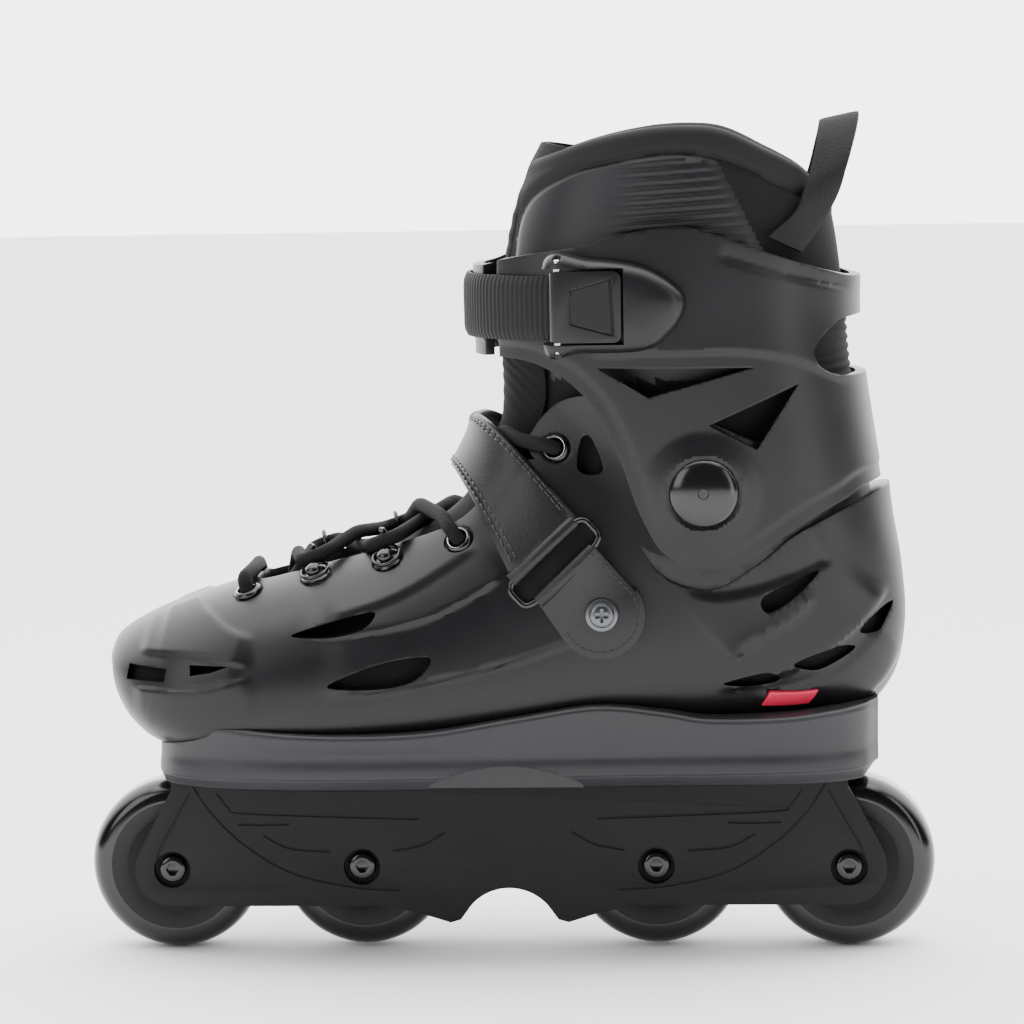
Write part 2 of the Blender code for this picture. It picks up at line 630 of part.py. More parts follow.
def eyelet(place, side, sign, shell):
    """A rolled steel ring on the shell, over a hole that goes right through the wall."""
    point, normal = eyelet_place(place, sign)
    axes = looking(normal)
    cut(shell, bore(f"eyelet_seat_{place}_{side}", EYELET_RADIUS + 0.5, 9.0, point + normal * 4.3, axes, 14),
        bore(f"eyelet_hole_{place}_{side}", EYELET_BORE + 0.3, 14.0, point, axes, 12))
    profile = ((EYELET_BORE, GAP), (EYELET_BORE, 1.3), (EYELET_BORE + 0.9, 1.8), (EYELET_RADIUS, 0.9),
               (EYELET_RADIUS, GAP))
    return turned(f"eyelet_{place}_{side}", profile, point, polished_steel(), 14, axes)


def hook_loop_centre(place, sign):
    """The middle of a hook's loop, through which the lace passes lengthwise."""
    point, normal = SHELL.on_side(*HOOKS[place], sign)
    inwards = looking(normal) @ Vector((0.0, -sign, 0.0))
    return point, normal, inwards, point + normal * (LACE_RADIUS + 2.1) + inwards * 6.0


def lace_hook(place, side, sign, shell):
    """A lace guide: a plate with a ball-headed rivet and a standing wire loop."""
    point, normal, inwards, centre = hook_loop_centre(place, sign)
    axes = looking(normal)
    cut(shell, bore(f"hook_seat_{place}_{side}", 5.6, 12.0, point + normal * 5.7, axes, 14))
    profile = ((0.0, GAP), (4.8, GAP), (5.0, 1.0), (4.2, 1.7), (2.5, 2.0), (2.7, 3.2), (1.8, 4.5), (0.0, 5.0))
    base = turned(f"lace_hook_{place}_{side}", profile, point, black_steel(), 12, axes)
    wire = 0.8
    reach = LACE_RADIUS + wire + 0.7
    angles = even_steps(math.radians(-58.0), math.radians(160.0), 7)
    route = [point + normal * 1.4 + inwards * 2.2]
    route += [centre + inwards * (reach * math.sin(a)) - normal * (reach * math.cos(a)) for a in angles]
    return join(base, rod(f"hook_wire_{place}_{side}", route, wire, None, 6))


def lace_route():
    """One lace: a bar over the toe eyelets, then crossing to the hooks, the instep eyelets and, under
    the strap, the ankle eyelets, with its two ends tucked in under the strap."""
    def above(section, turn, off):
        turn = turn % 1.0
        return SHELL.point(section, turn) + SHELL.normal(section, turn) * off

    def half(sign, crossing):
        """From the toe bar to one end: it starts on this side and changes sides at each crossing,
        which lies this far off the instep's line."""
        toe, toe_normal = eyelet_place("toe", sign)
        instep, instep_normal = eyelet_place("instep", -sign)
        ankle, ankle_normal = eyelet_place("ankle", -sign)
        front = hook_loop_centre("front", -sign)[3]
        rear = hook_loop_centre("rear", sign)[3]
        inside = SHELL_WALL + LACE_RADIUS + 1.1
        lengthwise = Vector((0.94, 0.0, 0.33))
        inwards = Vector((0.0, sign, 0.0))
        return [
            above(4.93, -sign * 0.028, LACE_RADIUS + 0.6),
            toe + toe_normal * 5.6,
            toe - toe_normal * inside,
            above(5.35, -sign * 0.040, -6.4),
            above(5.60, 0.0, crossing),
            front - lengthwise * 4.5 + inwards * 0.6,
            front + lengthwise * 4.5 + inwards * 0.6,
            above(6.45, 0.0, crossing),
            rear - lengthwise * 4.5 - inwards * 0.6,
            rear + lengthwise * 4.5 - inwards * 0.6,
            above(7.45, 0.0, crossing),
            above(7.95, sign * 0.086, LACE_RADIUS + 1.2),
            instep + instep_normal * 5.6,
            instep - instep_normal * inside,
            ankle - ankle_normal * inside,
            ankle + ankle_normal * 5.6,
            above(10.55, sign * 0.112, LACE_RADIUS + 0.6),
            above(9.95, sign * 0.070, -0.6),
            above(9.1, sign * 0.028, -1.0),
        ]
    low = -1.5
    outer, inner = half(LATERAL, low), half(MEDIAL, low + 2 * LACE_RADIUS + 0.5)
    return rounded_route(list(reversed(inner)) + outer, 3.6)


def strap_ring(name="strap_ring", wire=RING_WIRE, finish=None):
    """The oval wire loop between the strap and its anchor."""
    corners, sides = 20, 6
    facing = RING_ALONG.cross(RING_UP)
    points, faces = [], []
    for i in range(corners):
        angle = 2.0 * math.pi * i / corners
        c, s = math.cos(angle), math.sin(angle)
        place = RING_CENTRE + RING_ALONG * math.copysign(abs(c) ** 0.45, c) * RING_HALF_LENGTH
        place += RING_UP * math.copysign(abs(s) ** 0.45, s) * RING_HALF_WIDTH
        outward = (RING_ALONG * c + RING_UP * s).normalized()
        for k in range(sides):
            around = 2.0 * math.pi * k / sides
            points.append(place + wire * (outward * math.cos(around) + facing * math.sin(around)))
    for i in range(corners):
        for k in range(sides):
            ahead, over = (i + 1) % corners * sides, (k + 1) % sides
            faces.append((i * sides + k, i * sides + over, ahead + over, ahead + k))
    return mesh_object(name, points, faces, finish)


def hem(name, up, half_length):
    """The rolled end of a strap, round one long bar of the ring."""
    middle = RING_CENTRE + RING_UP * (RING_HALF_WIDTH * up)
    return rod(name, [middle - RING_ALONG * half_length, middle + RING_ALONG * half_length], 2.5)


def instep_strap():
    """The padded strap at 45 degrees over the instep, from the ring to the inner side's screw."""
    crown = ((8.35, 0.0), (9.65, 0.0))
    ring = (SHELL.locate(4.2, 134.0, LATERAL), SHELL.locate(26.4, 154.0, LATERAL))
    screw = (SHELL.locate(26.0, 108.5, LATERAL), SHELL.locate(48.0, 129.0, LATERAL))
    side_steps, end_steps = 6, 4
    stations = [-i / side_steps for i in range(side_steps, 0, -1)]
    stations += [i / side_steps for i in range(side_steps)]
    stations += [1.0 + i / end_steps for i in range(end_steps + 1)]

    @grid(len(stations), 4)
    def places(i, j):
        station, share = stations[i], j / 3
        down = min(abs(station), 1.0)
        (low_s, low_t), (high_s, high_t) = (
            [a + (b - a) * down for a, b in zip(crown[k], ring[k])] for k in (0, 1))
        if station > 1.0:
            (low_s, low_t), (high_s, high_t) = (
                [a + (b - a) * (station - 1.0) for a, b in zip(ring[k], screw[k])] for k in (0, 1))
        section = low_s + (high_s - low_s) * share
        turn = low_t + (high_t - low_t) * share
        turn = turn % 1.0 if station < 0.0 else -turn % 1.0
        lift = STRAP_LIFT + 3.9 * max(0.0, 1.0 - down / 0.7) ** 0.7
        point, normal = SHELL.point(section, turn), SHELL.normal(section, turn)
        return point + normal * (lift + STRAP_THICKNESS), point + normal * lift
    strap = patch("instep_strap", places, strap_leather())
    join(strap, hem("strap_hem", 1.0, 14.6))
    point, normal = SHELL.on_side(*ANCHOR_SCREW, MEDIAL)
    return cut(strap, strap_ring("ring_room_in_strap", RING_WIRE + GAP),
               bore("strap_screw_hole", 2.9, 20.0, point, looking(normal), 12))


def strap_anchor():
    """The outer side's anchor tab, screwed to the shell, that holds the ring."""
    outline = [(12.2, 127.6), (32.0, 145.6), (45.5, 130.0)]
    radius = 15.0
    for angle in even_steps(math.radians(35.0), math.radians(-150.0), 10):
        outline.append((ANCHOR_SCREW[0] + radius * math.cos(angle),
                        ANCHOR_SCREW[1] + radius * math.sin(angle)))
    tab = prism("strap_anchor", outline, -45.4, -42.9, strap_leather())
    join(tab, hem("anchor_hem", -1.0, 13.0))
    point = (ANCHOR_SCREW[0], -44.0, ANCHOR_SCREW[1])
    return cut(tab, strap_ring("ring_room_in_anchor", RING_WIRE + GAP),
               bore("anchor_screw_hole", 2.9, 20.0, point, across(), 12))


def anchor_screw(side, sign, lift, shell):
    """A washer-faced screw through a strap's end, this far over the shell, into the shell."""
    point, normal = SHELL.on_side(*ANCHOR_SCREW, sign)
    cut(shell, bore(f"anchor_screw_hole_{side}", 2.8, 14.0, point, looking(normal), 12))
    profile = ((0.0, -2.6), (2.4, -2.6), (2.4, lift), (5.4, lift), (5.4, lift + 1.2), (3.6, lift + 2.4),
               (0.0, lift + 2.8))
    return turned(f"anchor_screw_{side}", profile, point, polished_steel(), 14, looking(normal))


def soul_plate(shell_bottom):
    """The sole that the boot stands in: outer lip, ridge, grind arch, wheel wells."""
    rings = []
    for x, sole, ridge, top, height in SOUL_ROWS:
        rise = 5.5 if x in (SOUL_ROWS[0][0], SOUL_ROWS[-1][0]) else 0.0
        half = [(sole, SOUL_UNDERSIDE + rise), (ridge, SOUL_RIDGE_Z + rise * 0.3), (top, height),
                (top - 4.0, height)]
        ring = [Vector((x, -y, z)) for y, z in half] + [Vector((x, y, z)) for y, z in reversed(half)]
        rings.append(ring)
    plate = closed_loft("soul_plate", rings, sole_plastic())
    cut(plate, shell_bottom)
    for number, (x, _) in enumerate(AXLES):
        cut(plate, block(f"well_cutter_{number}", (x - 14.0, -13.2, 50.0), (x + 14.0, 13.2, 64.6)))
    for label, x in (("front", -FRAME_BOLT_X), ("rear", FRAME_BOLT_X)):
        cut(plate, bore(f"sole_bolt_hole_{label}", 4.4, 40.0, (x, 0.0, 70.0)))
    for side, sign in SIDES:
        outline = [(-27.0, 55.0), (-22.5, 65.0), (-12.0, 69.0), (1.0, 70.5), (14.0, 69.0), (24.5, 65.5),
                   (28.0, 55.0)]
        low, high = sorted((sign * 38.5, sign * 60.0))
        cut(plate, prism(f"arch_cutter_{side}", outline, low, high))
    return plate


def frame_outline():
    """The frame's whole side outline, mirrored from its rear half."""
    centre = AXLES[3]
    rear = list(FRAME_END_OUTLINE)
    for angle in even_steps(math.radians(15.0), math.radians(-90.0), 6):
        rear.append((centre[0] + FRAME_CORNER_RADIUS * math.cos(angle),
                     centre[1] + FRAME_CORNER_RADIUS * math.sin(angle)))
    rear += list(FRAME_BELOW_CORNER)[1:]
    start = math.atan2(17.0 - ARCH_CENTRE_Z, 13.0)
    for angle in even_steps(start, math.pi / 2, 5):
        rear.append((ARCH_RADIUS * math.cos(angle), ARCH_CENTRE_Z + ARCH_RADIUS * math.sin(angle)))
    return rear + [(-x, z) for x, z in reversed(rear[:-1])]


def frame():
    """The one-piece frame: two side walls, joined by the deck and by the web over the arch."""
    made = prism("frame", frame_outline(), -FRAME_HALF_WIDTH, FRAME_HALF_WIDTH, frame_plastic())
    for label, sign in (("front", -1), ("rear", 1)):
        ends = sorted((sign * CENTRE_WEB_HALF_LENGTH, sign * 140.0))
        channel = block(f"channel_cutter_{label}", (ends[0], -FRAME_INNER_Y, 0.0),
                        (ends[1], FRAME_INNER_Y, DECK_UNDERSIDE))
        cut(made, channel)
    for number, (x, z) in enumerate(AXLES):
        well = block(f"frame_well_cutter_{number}", (x - WHEEL_WELL_HALF_LENGTH, -FRAME_INNER_Y, 50.0),
                     (x + WHEEL_WELL_HALF_LENGTH, FRAME_INNER_Y, 70.0))
        stepped = turned(f"axle_hole_{number}", (
            (0.0, -30.0), (COUNTERBORE_RADIUS, -30.0),
            (COUNTERBORE_RADIUS, -15.3), (AXLE_RADIUS + GAP, -15.3),
            (AXLE_RADIUS + GAP, 15.3), (COUNTERBORE_RADIUS, 15.3), (COUNTERBORE_RADIUS, 30.0), (0.0, 30.0)),
            (x, 0.0, z), None, 12, across())
        cut(made, well, stepped)
    for label, x in (("front", -FRAME_BOLT_X), ("rear", FRAME_BOLT_X)):
        cut(made, bore(f"frame_bolt_hole_{label}", 4.4, 40.0, (x, 0.0, 62.0)))
    return made


def frame_bolt(label, x):
    """The bolt that holds the frame and soul plate to the shell, its head under the deck."""
    profile = ((0.0, 1.5), (2.5, 1.5), (2.5, 0.0), (6.5, 0.0),
               (6.5, 5.2), (4.0, 5.2), (4.0, 20.6), (0.0, 20.6))
    head_z = DECK_UNDERSIDE - 5.2 - GAP
    return turned(f"frame_bolt_{label}", profile, (x, 0.0, head_z), black_steel(), 14)


def wheel(number, x, z):
    """Tyre, hub and two bearings, all turning about the axle."""
    w = WHEEL_HALF_WIDTH
    r = WHEEL_RADIUS
    tyre = ((HUB_RADIUS + GAP, -w + 1.2), (23.0, -w), (26.5, -w + 1.0), (28.9, -w + 3.6), (r, -3.4), (r, 3.4),
            (28.9, w - 3.6), (26.5, w - 1.0), (23.0, w), (HUB_RADIUS + GAP, w - 1.2))
    seat = BEARING_RADIUS + GAP
    stop = BEARING_INNER_Y - GAP
    hub = ((seat, -w + 0.8), (HUB_RADIUS, -w + 0.8), (HUB_RADIUS, w - 0.8), (seat, w - 0.8), (seat, stop),
           (8.6, stop), (8.6, -stop), (seat, -stop))
    turned(f"tyre_{number}", tyre, (x, 0.0, z), urethane(), 24, across())
    turned(f"hub_{number}", hub, (x, 0.0, z), frame_plastic(), 14, across())
    for side, sign in SIDES:
        low, high = sorted((sign * BEARING_INNER_Y, sign * BEARING_OUTER_Y))
        ring = ((BEARING_BORE, low), (BEARING_RADIUS, low), (BEARING_RADIUS, high), (BEARING_BORE, high))
        turned(f"bearing_{number}_{side}", ring, (x, 0.0, z), polished_steel(), 12, across())


def axle_and_spacer(number, x, z):
    """The one-piece axle, its socket head sunk in the outer wall, and the bearings' spacer."""
    head, shank = AXLE_HEAD_RADIUS, AXLE_RADIUS
    shaft = ((0.0, -16.2), (2.2, -16.2), (2.2, -18.4), (3.4, -18.6), (head, -17.8), (head, -15.3 - GAP),
             (shank, -15.3 - GAP), (shank, 17.0), (0.0, 17.0))
    turned(f"axle_{number}", shaft, (x, 0.0, z), black_steel(), 12, across())
    half = BEARING_INNER_Y - GAP
    ring = ((BEARING_BORE + 0.1, -half), (5.6, -half), (5.6, half), (BEARING_BORE + 0.1, half))
    turned(f"spacer_{number}", ring, (x, 0.0, z), polished_steel(), 12, across())


def colour_tab(side, sign, shell):
    """The moulded colour insert low on the heel, in a pocket of its own."""
    corners = ((87.5, 88.9), (103.5, 88.9), (107.0, 93.8), (90.5, 93.8))
    (a, b, c, d) = (SHELL.locate(x, z, LATERAL) for x, z in corners)

    def sheet(name, spread, outer, inner, finish=None):
        @grid(5, 3)
        def places(i, j):
            along, up = 0.5 + (i / 4 - 0.5) * spread, 0.5 + (j / 2 - 0.5) * (2.0 * spread - 1.0)
            section, turn = (
                (a[k] * (1 - along) + b[k] * along) * (1 - up) + (d[k] * (1 - along) + c[k] * along) * up
                for k in (0, 1))
            turn = turn if sign == LATERAL else 1.0 - turn
            point, normal = SHELL.point(section, turn), SHELL.normal(section, turn)
            return point + normal * outer, point + normal * inner
        return patch(name, places, finish)
    cut(shell, sheet(f"colour_tab_pocket_{side}", 1.05, 6.0, -1.2 - GAP))
    return sheet(f"colour_tab_{side}", 1.0, 0.9, -1.2, red_plastic())


def cuff():
    """The leaning upper: a C round the ankle, closed at the front by two flaps."""
    rows, columns = 8, 28

    @grid(rows, columns)
    def places(i, j):
        section = CUFF.last * i / (rows - 1)
        turn = (FLAP_GAP[1] + (1.0 + FLAP_GAP[0] - FLAP_GAP[1]) * j / (columns - 1)) % 1.0
        return CUFF.point(section, turn), CUFF.point(section, turn, -CUFF_WALL)
    made = patch("cuff", places, shell_plastic())
    below = list(CUFF_LOWER_EDGE) + [(150.0, 100.0), (-40.0, 100.0)]
    above = list(CUFF_TOP_EDGE) + [(150.0, 300.0), (-40.0, 300.0)]
    cut(made, prism("cuff_below", below, -80.0, 80.0), prism("cuff_above", above, -80.0, 80.0),
        prism("cuff_notch", CUFF_BACK_NOTCH, -80.0, 80.0))
    for vent, outline in CUFF_VENTS.items():
        cut(made, prism(f"cuff_vent_{vent}", outline, -80.0, 80.0))
    return cut(made, bore("cuff_pivot_hole", 6.6, 160.0, (PIVOT[0], 0.0, PIVOT[1]), across()))


def cuff_bolt(side, sign):
    """The domed pivot bolt through cuff and shell, which the cuff leans about."""
    face = 45.6
    profile = ((0.0, -9.6), (5.9, -9.6), (5.9, GAP + 0.2), (11.6, GAP + 0.2),
               (11.6, 1.8), (8.0, 3.6), (0.0, 4.6))
    place = (PIVOT[0], sign * face, PIVOT[1])
    return turned(f"cuff_bolt_{side}", profile, place, black_steel(), 20, across(sign))


def buckle_base():
    """The domed pad riveted to the cuff, with a bed for the strap between two cheeks."""
    middle = Vector((40.0, 225.8))
    rings = []
    for y, share in ((-40.0, 1.0), (-50.5, 0.99), (-54.0, 0.93), (-55.6, 0.80)):
        rings.append([Vector((middle.x + (x - middle.x) * share, y, middle.y + (z - middle.y) * share))
                      for x, z in BUCKLE_OUTLINE])
    pad = closed_loft("buckle_base", rings, shell_plastic())
    seat = closed_loft("buckle_seat_cutter", [
        [CUFF.point(s, i / 48, GAP) for i in range(48)] for s in even_steps(4.5, 8.0, 8)])
    bed = block("buckle_bed_cutter", (0.0, -60.0, BED_LOW), (BED_REAR_X, -30.0, BED_HIGH))
    pin_hole = bore("buckle_pin_hole", 1.2 + GAP, 60.0, BUCKLE_PIN, None, 10)
    return cut(pad, seat, bed, pin_hole)


def buckle_parts():
    """Lever, pin and the sprung pawl under the lever."""
    lever = block("buckle_lever", (20.5, -55.6, 214.2), (42.6, -53.4, 237.8), shell_plastic())
    knuckle = bore("lever_knuckle", 2.6, 22.8, BUCKLE_PIN, None, 14)
    pin_room = bore("lever_pin_room", 1.2 + GAP, 60.0, BUCKLE_PIN, None, 10)
    cut(join(lever, knuckle), pin_room)
    pin = turned("buckle_pin", ((0.0, 0.0), (1.2, 0.0), (1.2, 31.4), (0.0, 31.4)),
                 (BUCKLE_PIN.x, BUCKLE_PIN.y, 210.3), polished_steel(), 10)
    outline = ((25.2, -51.2), (25.4, -52.7), (34.0, -52.7), (37.4, -50.6), (37.0, -50.1))
    pawl = standing_prism("buckle_pawl", outline, 217.0, 235.0, black_steel())
    return lever, pin, pawl


def standing_prism(name, outline, z_low, z_high, finish=None):
    """A plan-view outline pulled up from z_low to z_high."""
    count = len(outline)
    points = [(x, y, z) for z in (z_low, z_high) for x, y in outline]
    faces = [list(range(count)), [i + count for i in reversed(range(count))]]
    faces += [(i, (i + 1) % count, (i + 1) % count + count, i + count) for i in range(count)]
    return mesh_object(name, points, faces, finish)


def ladder_strap():
    """The toothed strap from the inner side, round the front of the cuff, into the buckle."""
    columns = 26

    @grid(2, columns)
    def places(i, j):
        turn = (0.222 - (0.222 + 0.190) * j / (columns - 1)) % 1.0
        section = CUFF_SECTION_AT_205 + ((STRAP_HIGH if i else STRAP_LOW) - 205.0) / 15.0
        return CUFF.point(section, turn, 3.3), CUFF.point(section, turn, 0.8)
    strap = patch("ladder_strap", places, shell_plastic())
    point, normal = ladder_screw_place()
    return cut(strap, bore("ladder_screw_hole", 2.6, 20.0, point, looking(normal), 12))


def ladder_screw_place():
    """Where the ladder strap is fixed: the cuff's surface on the inner side, and its normal."""
    section = CUFF_SECTION_AT_205 + 20.0 / 15.0
    return CUFF.point(section, 0.825), CUFF.normal(section, 0.825)


def ladder_screw(fixed_to):
    """The screw that fixes the ladder strap to the cuff's inner side."""
    point, normal = ladder_screw_place()
    cut(fixed_to, bore("ladder_screw_room", 2.6, 20.0, point, looking(normal), 12))
    lift = 3.3 + GAP
    profile = ((0.0, -2.4), (2.2, -2.4), (2.2, lift), (4.8, lift), (4.8, lift + 1.1), (3.0, lift + 2.1),
               (0.0, lift + 2.4))
    return turned("ladder_screw", profile, point, polished_steel(), 14, looking(normal))


def pull_loop():
    """The webbing loop sewn to both sides of the collar at the back, for pulling the boot on."""
    knots = []
    for x, z, lean, lift in ((96.0, 244.5, -0.34, 1.7), (104.6, 254.5, -0.05, 1.9)):
        point, normal = LINER.on_side(x, z, LATERAL)
        sideways = Vector((1.0, 0.0, lean))
        knots.append((point + normal * lift, (sideways - normal * sideways.dot(normal)).normalized()))
    knots.append((Vector((111.2, -22.5, 267.5)), Vector((0.95, 0.14, 0.27))))
    knots.append((Vector((114.8, -12.5, 280.5)), Vector((0.97, 0.05, 0.24))))
    knots.append((Vector((116.0, 0.0, 286.5)), Vector((0.98, 0.0, 0.2))))
    knots += [(Vector((p.x, -p.y, p.z)), Vector((w.x, -w.y, w.z))) for p, w in reversed(knots[:-1])]
    centre = smooth_route([tuple(p) for p, _ in knots], 3)
    widths = smooth_route([tuple(w) for _, w in knots], 3)
    rows = len(centre)

    @grid(rows, 2)
    def places(i, j):
        ahead = centre[min(i + 1, rows - 1)] - centre[max(i - 1, 0)]
        outward = ahead.cross(widths[i]).normalized()
        edge = centre[i] + widths[i].normalized() * 6.8 * (1 if j else -1)
        return edge - outward * 0.8, edge + outward * 0.8
    return patch("pull_loop", places, webbing())


def carry(empty_name, place, *objects):
    """Parents objects to an empty on their joint's axis, leaving them where they are."""
    hinge = bpy.data.objects.new(empty_name, None)
    bpy.context.scene.collection.objects.link(hinge)
    hinge.location = Vector(place) * MM
    for obj in objects:
        obj.parent = hinge
        obj.matrix_parent_inverse = Matrix.Translation(-hinge.location)
    return hinge


def main():
    clear_scene()
    shell = boot_shell()
    route = lace_route()
    cord("lace", route, LACE_RADIUS, webbing())
    groove = rod("lace_groove", route, LACE_RADIUS + GAP)
    for side, sign in SIDES:
        for place in EYELETS:
            eyelet(place, side, sign, shell)
        for place in HOOKS:
            lace_hook(place, side, sign, shell)
        colour_tab(side, sign, shell)
        cuff_bolt(side, sign)
    anchor_screw("lateral", LATERAL, 4.6, shell)
    anchor_screw("medial", MEDIAL, STRAP_LIFT + STRAP_THICKNESS + 2 * GAP, shell)
    soul_plate(closed_loft("shell_clearance", [
        shell_ring(s, ROUND, GAP + 0.15) for s in even_steps(0.0, SHELL.last, SHELL_STEPS)]))
    frame()
    for label, x in (("front", -FRAME_BOLT_X), ("rear", FRAME_BOLT_X)):
        frame_bolt(label, x)
    for number, (x, z) in enumerate(AXLES, start=1):
        wheel(number, x, z)
        axle_and_spacer(number, x, z)
    tongue(groove)
    liner_foot(groove)
    instep_strap()
    strap_ring(finish=black_steel())
    strap_anchor()
    upper = cuff()
    leaning = [upper, liner_collar(), buckle_base(), ladder_strap(), ladder_screw(upper), pull_loop()]
    lever, pin, pawl = buckle_parts()
    pawl_hinge = carry("pawl_hinge", PAWL_PIVOT, pawl)
    lever_hinge = carry("lever_hinge", BUCKLE_PIN, lever, pawl_hinge)
    carry("cuff_hinge", (PIVOT[0], 0.0, PIVOT[1]), *leaning, pin, lever_hinge)


main()
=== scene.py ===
# %% [markdown]
# # An inline skate for grinding
# The skate is a hard moulded boot with a leaning cuff, a soft inner boot, laces, two straps, and a
# grinding sole on a frame with four small wheels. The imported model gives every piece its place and
# its joints. This lesson makes the fine surface of each piece over it, and nothing is moved.

# %% Load the frame
import math

import bmesh
import bpy
import numpy as np
from mathutils import Matrix, Vector


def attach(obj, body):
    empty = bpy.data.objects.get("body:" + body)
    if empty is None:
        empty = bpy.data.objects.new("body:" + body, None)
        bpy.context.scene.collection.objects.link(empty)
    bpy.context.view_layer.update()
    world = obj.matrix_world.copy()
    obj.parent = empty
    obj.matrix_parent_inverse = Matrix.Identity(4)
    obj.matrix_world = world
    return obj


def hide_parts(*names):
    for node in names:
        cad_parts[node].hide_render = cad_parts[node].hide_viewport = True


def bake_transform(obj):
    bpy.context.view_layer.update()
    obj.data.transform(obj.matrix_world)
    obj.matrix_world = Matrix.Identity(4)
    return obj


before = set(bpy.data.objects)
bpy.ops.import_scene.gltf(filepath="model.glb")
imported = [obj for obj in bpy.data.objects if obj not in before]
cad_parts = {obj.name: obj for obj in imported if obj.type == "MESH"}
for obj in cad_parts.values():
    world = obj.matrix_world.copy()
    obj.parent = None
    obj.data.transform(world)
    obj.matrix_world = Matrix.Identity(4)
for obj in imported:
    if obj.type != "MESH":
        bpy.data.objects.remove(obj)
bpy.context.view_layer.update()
MM = 0.001
OUTER, INNER = -1, 1

# %% [markdown]
# ## Colours and nodes
# A colour is written as the sRGB hex value that the eye knows, and one function turns it into the
# linear light that the shader adds up. One more small function adds a node with its settings.


# %% Colour and node helpers
def linear(hex_colour):
    def light(value):
        return value / 12.92 if value <= 0.04045 else ((value + 0.055) / 1.055) ** 2.4
    return (*(light(int(hex_colour[i:i + 2], 16) / 255) for i in (1, 3, 5)), 1.0)


def add(tree, kind, inputs=(), **settings):
    """Adds a node. inputs maps a socket's name to a value or to another node's output."""
    made = tree.nodes.new(kind)
    for name, value in settings.items():
        setattr(made, name, value)
    for name, value in dict(inputs).items():
        if isinstance(value, bpy.types.NodeSocket):
            tree.links.new(value, made.inputs[name])
        else:
            made.inputs[name].default_value = value
    return made


def in_scene(name, data):
    """A new object that holds this data."""
    made = bpy.data.objects.new(name, data)
    bpy.context.scene.collection.objects.link(made)
    return made


def finish(name, colour, roughness, metallic=0.0, **sockets):
    """A Principled material: its name, its even colour and its gloss."""
    made = bpy.data.materials.new(name)
    made.use_nodes = True
    shader = made.node_tree.nodes["Principled BSDF"]
    shader.inputs["Base Color"].default_value = linear(colour)
    shader.inputs["Roughness"].default_value = roughness
    shader.inputs["Metallic"].default_value = metallic
    for socket, value in sockets.items():
        shader.inputs[socket.replace("_", " ")].default_value = value
    return made


def textured(made, dark, light, smooth, rough, grain_mm, depth_mm, stretch=(1, 1, 1), cells=False):
    """Gives a material drifting colour and gloss, and a raised grain of this size and depth."""
    tree = made.node_tree
    shader = tree.nodes["Principled BSDF"]
    place = add(tree, "ShaderNodeTexCoord").outputs["Object"]
    drawn = add(tree, "ShaderNodeMapping", {"Vector": place, "Scale": stretch}).outputs["Vector"]
    drift = add(tree, "ShaderNodeTexNoise", {"Vector": drawn, "Scale": 55.0, "Detail": 5.0})
    colour = add(tree, "ShaderNodeMix", {"Factor": drift.outputs["Fac"]}, data_type="RGBA")
    # A mixing node has a pair of inputs for every kind of value. 6 and 7 are its two colours.
    colour.inputs[6].default_value = linear(dark)
    colour.inputs[7].default_value = linear(light)
    gloss = add(tree, "ShaderNodeMapRange",
                {"Value": drift.outputs["Fac"], "To Min": smooth, "To Max": rough})
    scale = 1.0 / (grain_mm * MM)
    if cells:
        grain = add(tree, "ShaderNodeTexVoronoi", {"Vector": drawn, "Scale": scale})
        height = grain.outputs["Distance"]
    else:
        grain = add(tree, "ShaderNodeTexNoise", {"Vector": drawn, "Scale": scale, "Detail": 2.0})
        height = grain.outputs["Fac"]
    raised = add(tree, "ShaderNodeBump", {"Height": height, "Distance": depth_mm * MM, "Strength": 1.0})
    tree.links.new(colour.outputs[2], shader.inputs["Base Color"])
    tree.links.new(gloss.outputs["Result"], shader.inputs["Roughness"])
    tree.links.new(raised.outputs["Normal"], shader.inputs["Normal"])
    return made


# %% [markdown]
# ## What it is made of
# Nearly every piece is black, so the finishes have to be told apart by gloss and grain. Polyurethane
# from a polished mould has a satin skin, glass-filled nylon is dead matt, cast urethane wheels shine
# on the shoulder, and fabric takes its look from its weave. Each grain is drawn at its real size,
# except where that would be too fine to show.

# %% Materials
shell_skin = textured(finish("Moulded polyurethane", "#0d0d10", 0.36, Specular_IOR_Level=0.3),
                      "#0b0b0d", "#111114", 0.3, 0.42, 0.6, 0.010)
sole_skin = textured(finish("Moulded nylon sole", "#1b1b1e", 0.5, Specular_IOR_Level=0.4),
                     "#161619", "#232327", 0.38, 0.55, 0.7, 0.03, (0.35, 1.0, 1.0))
frame_skin = textured(finish("Glass-filled nylon", "#111113", 0.56, Specular_IOR_Level=0.22),
                      "#0f0f11", "#151518", 0.52, 0.66, 0.6, 0.02)
wheel_skin = finish("Cast urethane", "#040506", 0.16)
wheel_face = textured(finish("Cast urethane face", "#0a0b0d", 0.5, Specular_IOR_Level=0.35),
                      "#090a0c", "#0d0e10", 0.42, 0.55, 0.8, 0.01)
bright_steel = finish("Polished steel", "#c6c7ca", 0.17, 1.0)
zinc = finish("Zinc-plated steel", "#5d5e62", 0.32, 1.0)
dark_steel = finish("Black oxide steel", "#0c0c0e", 0.17)
knit = textured(finish("Spacer mesh", "#060607", 0.85, Specular_IOR_Level=0.25),
                "#040405", "#0b0b0c", 0.75, 0.95, 1.0, 0.1, cells=True)
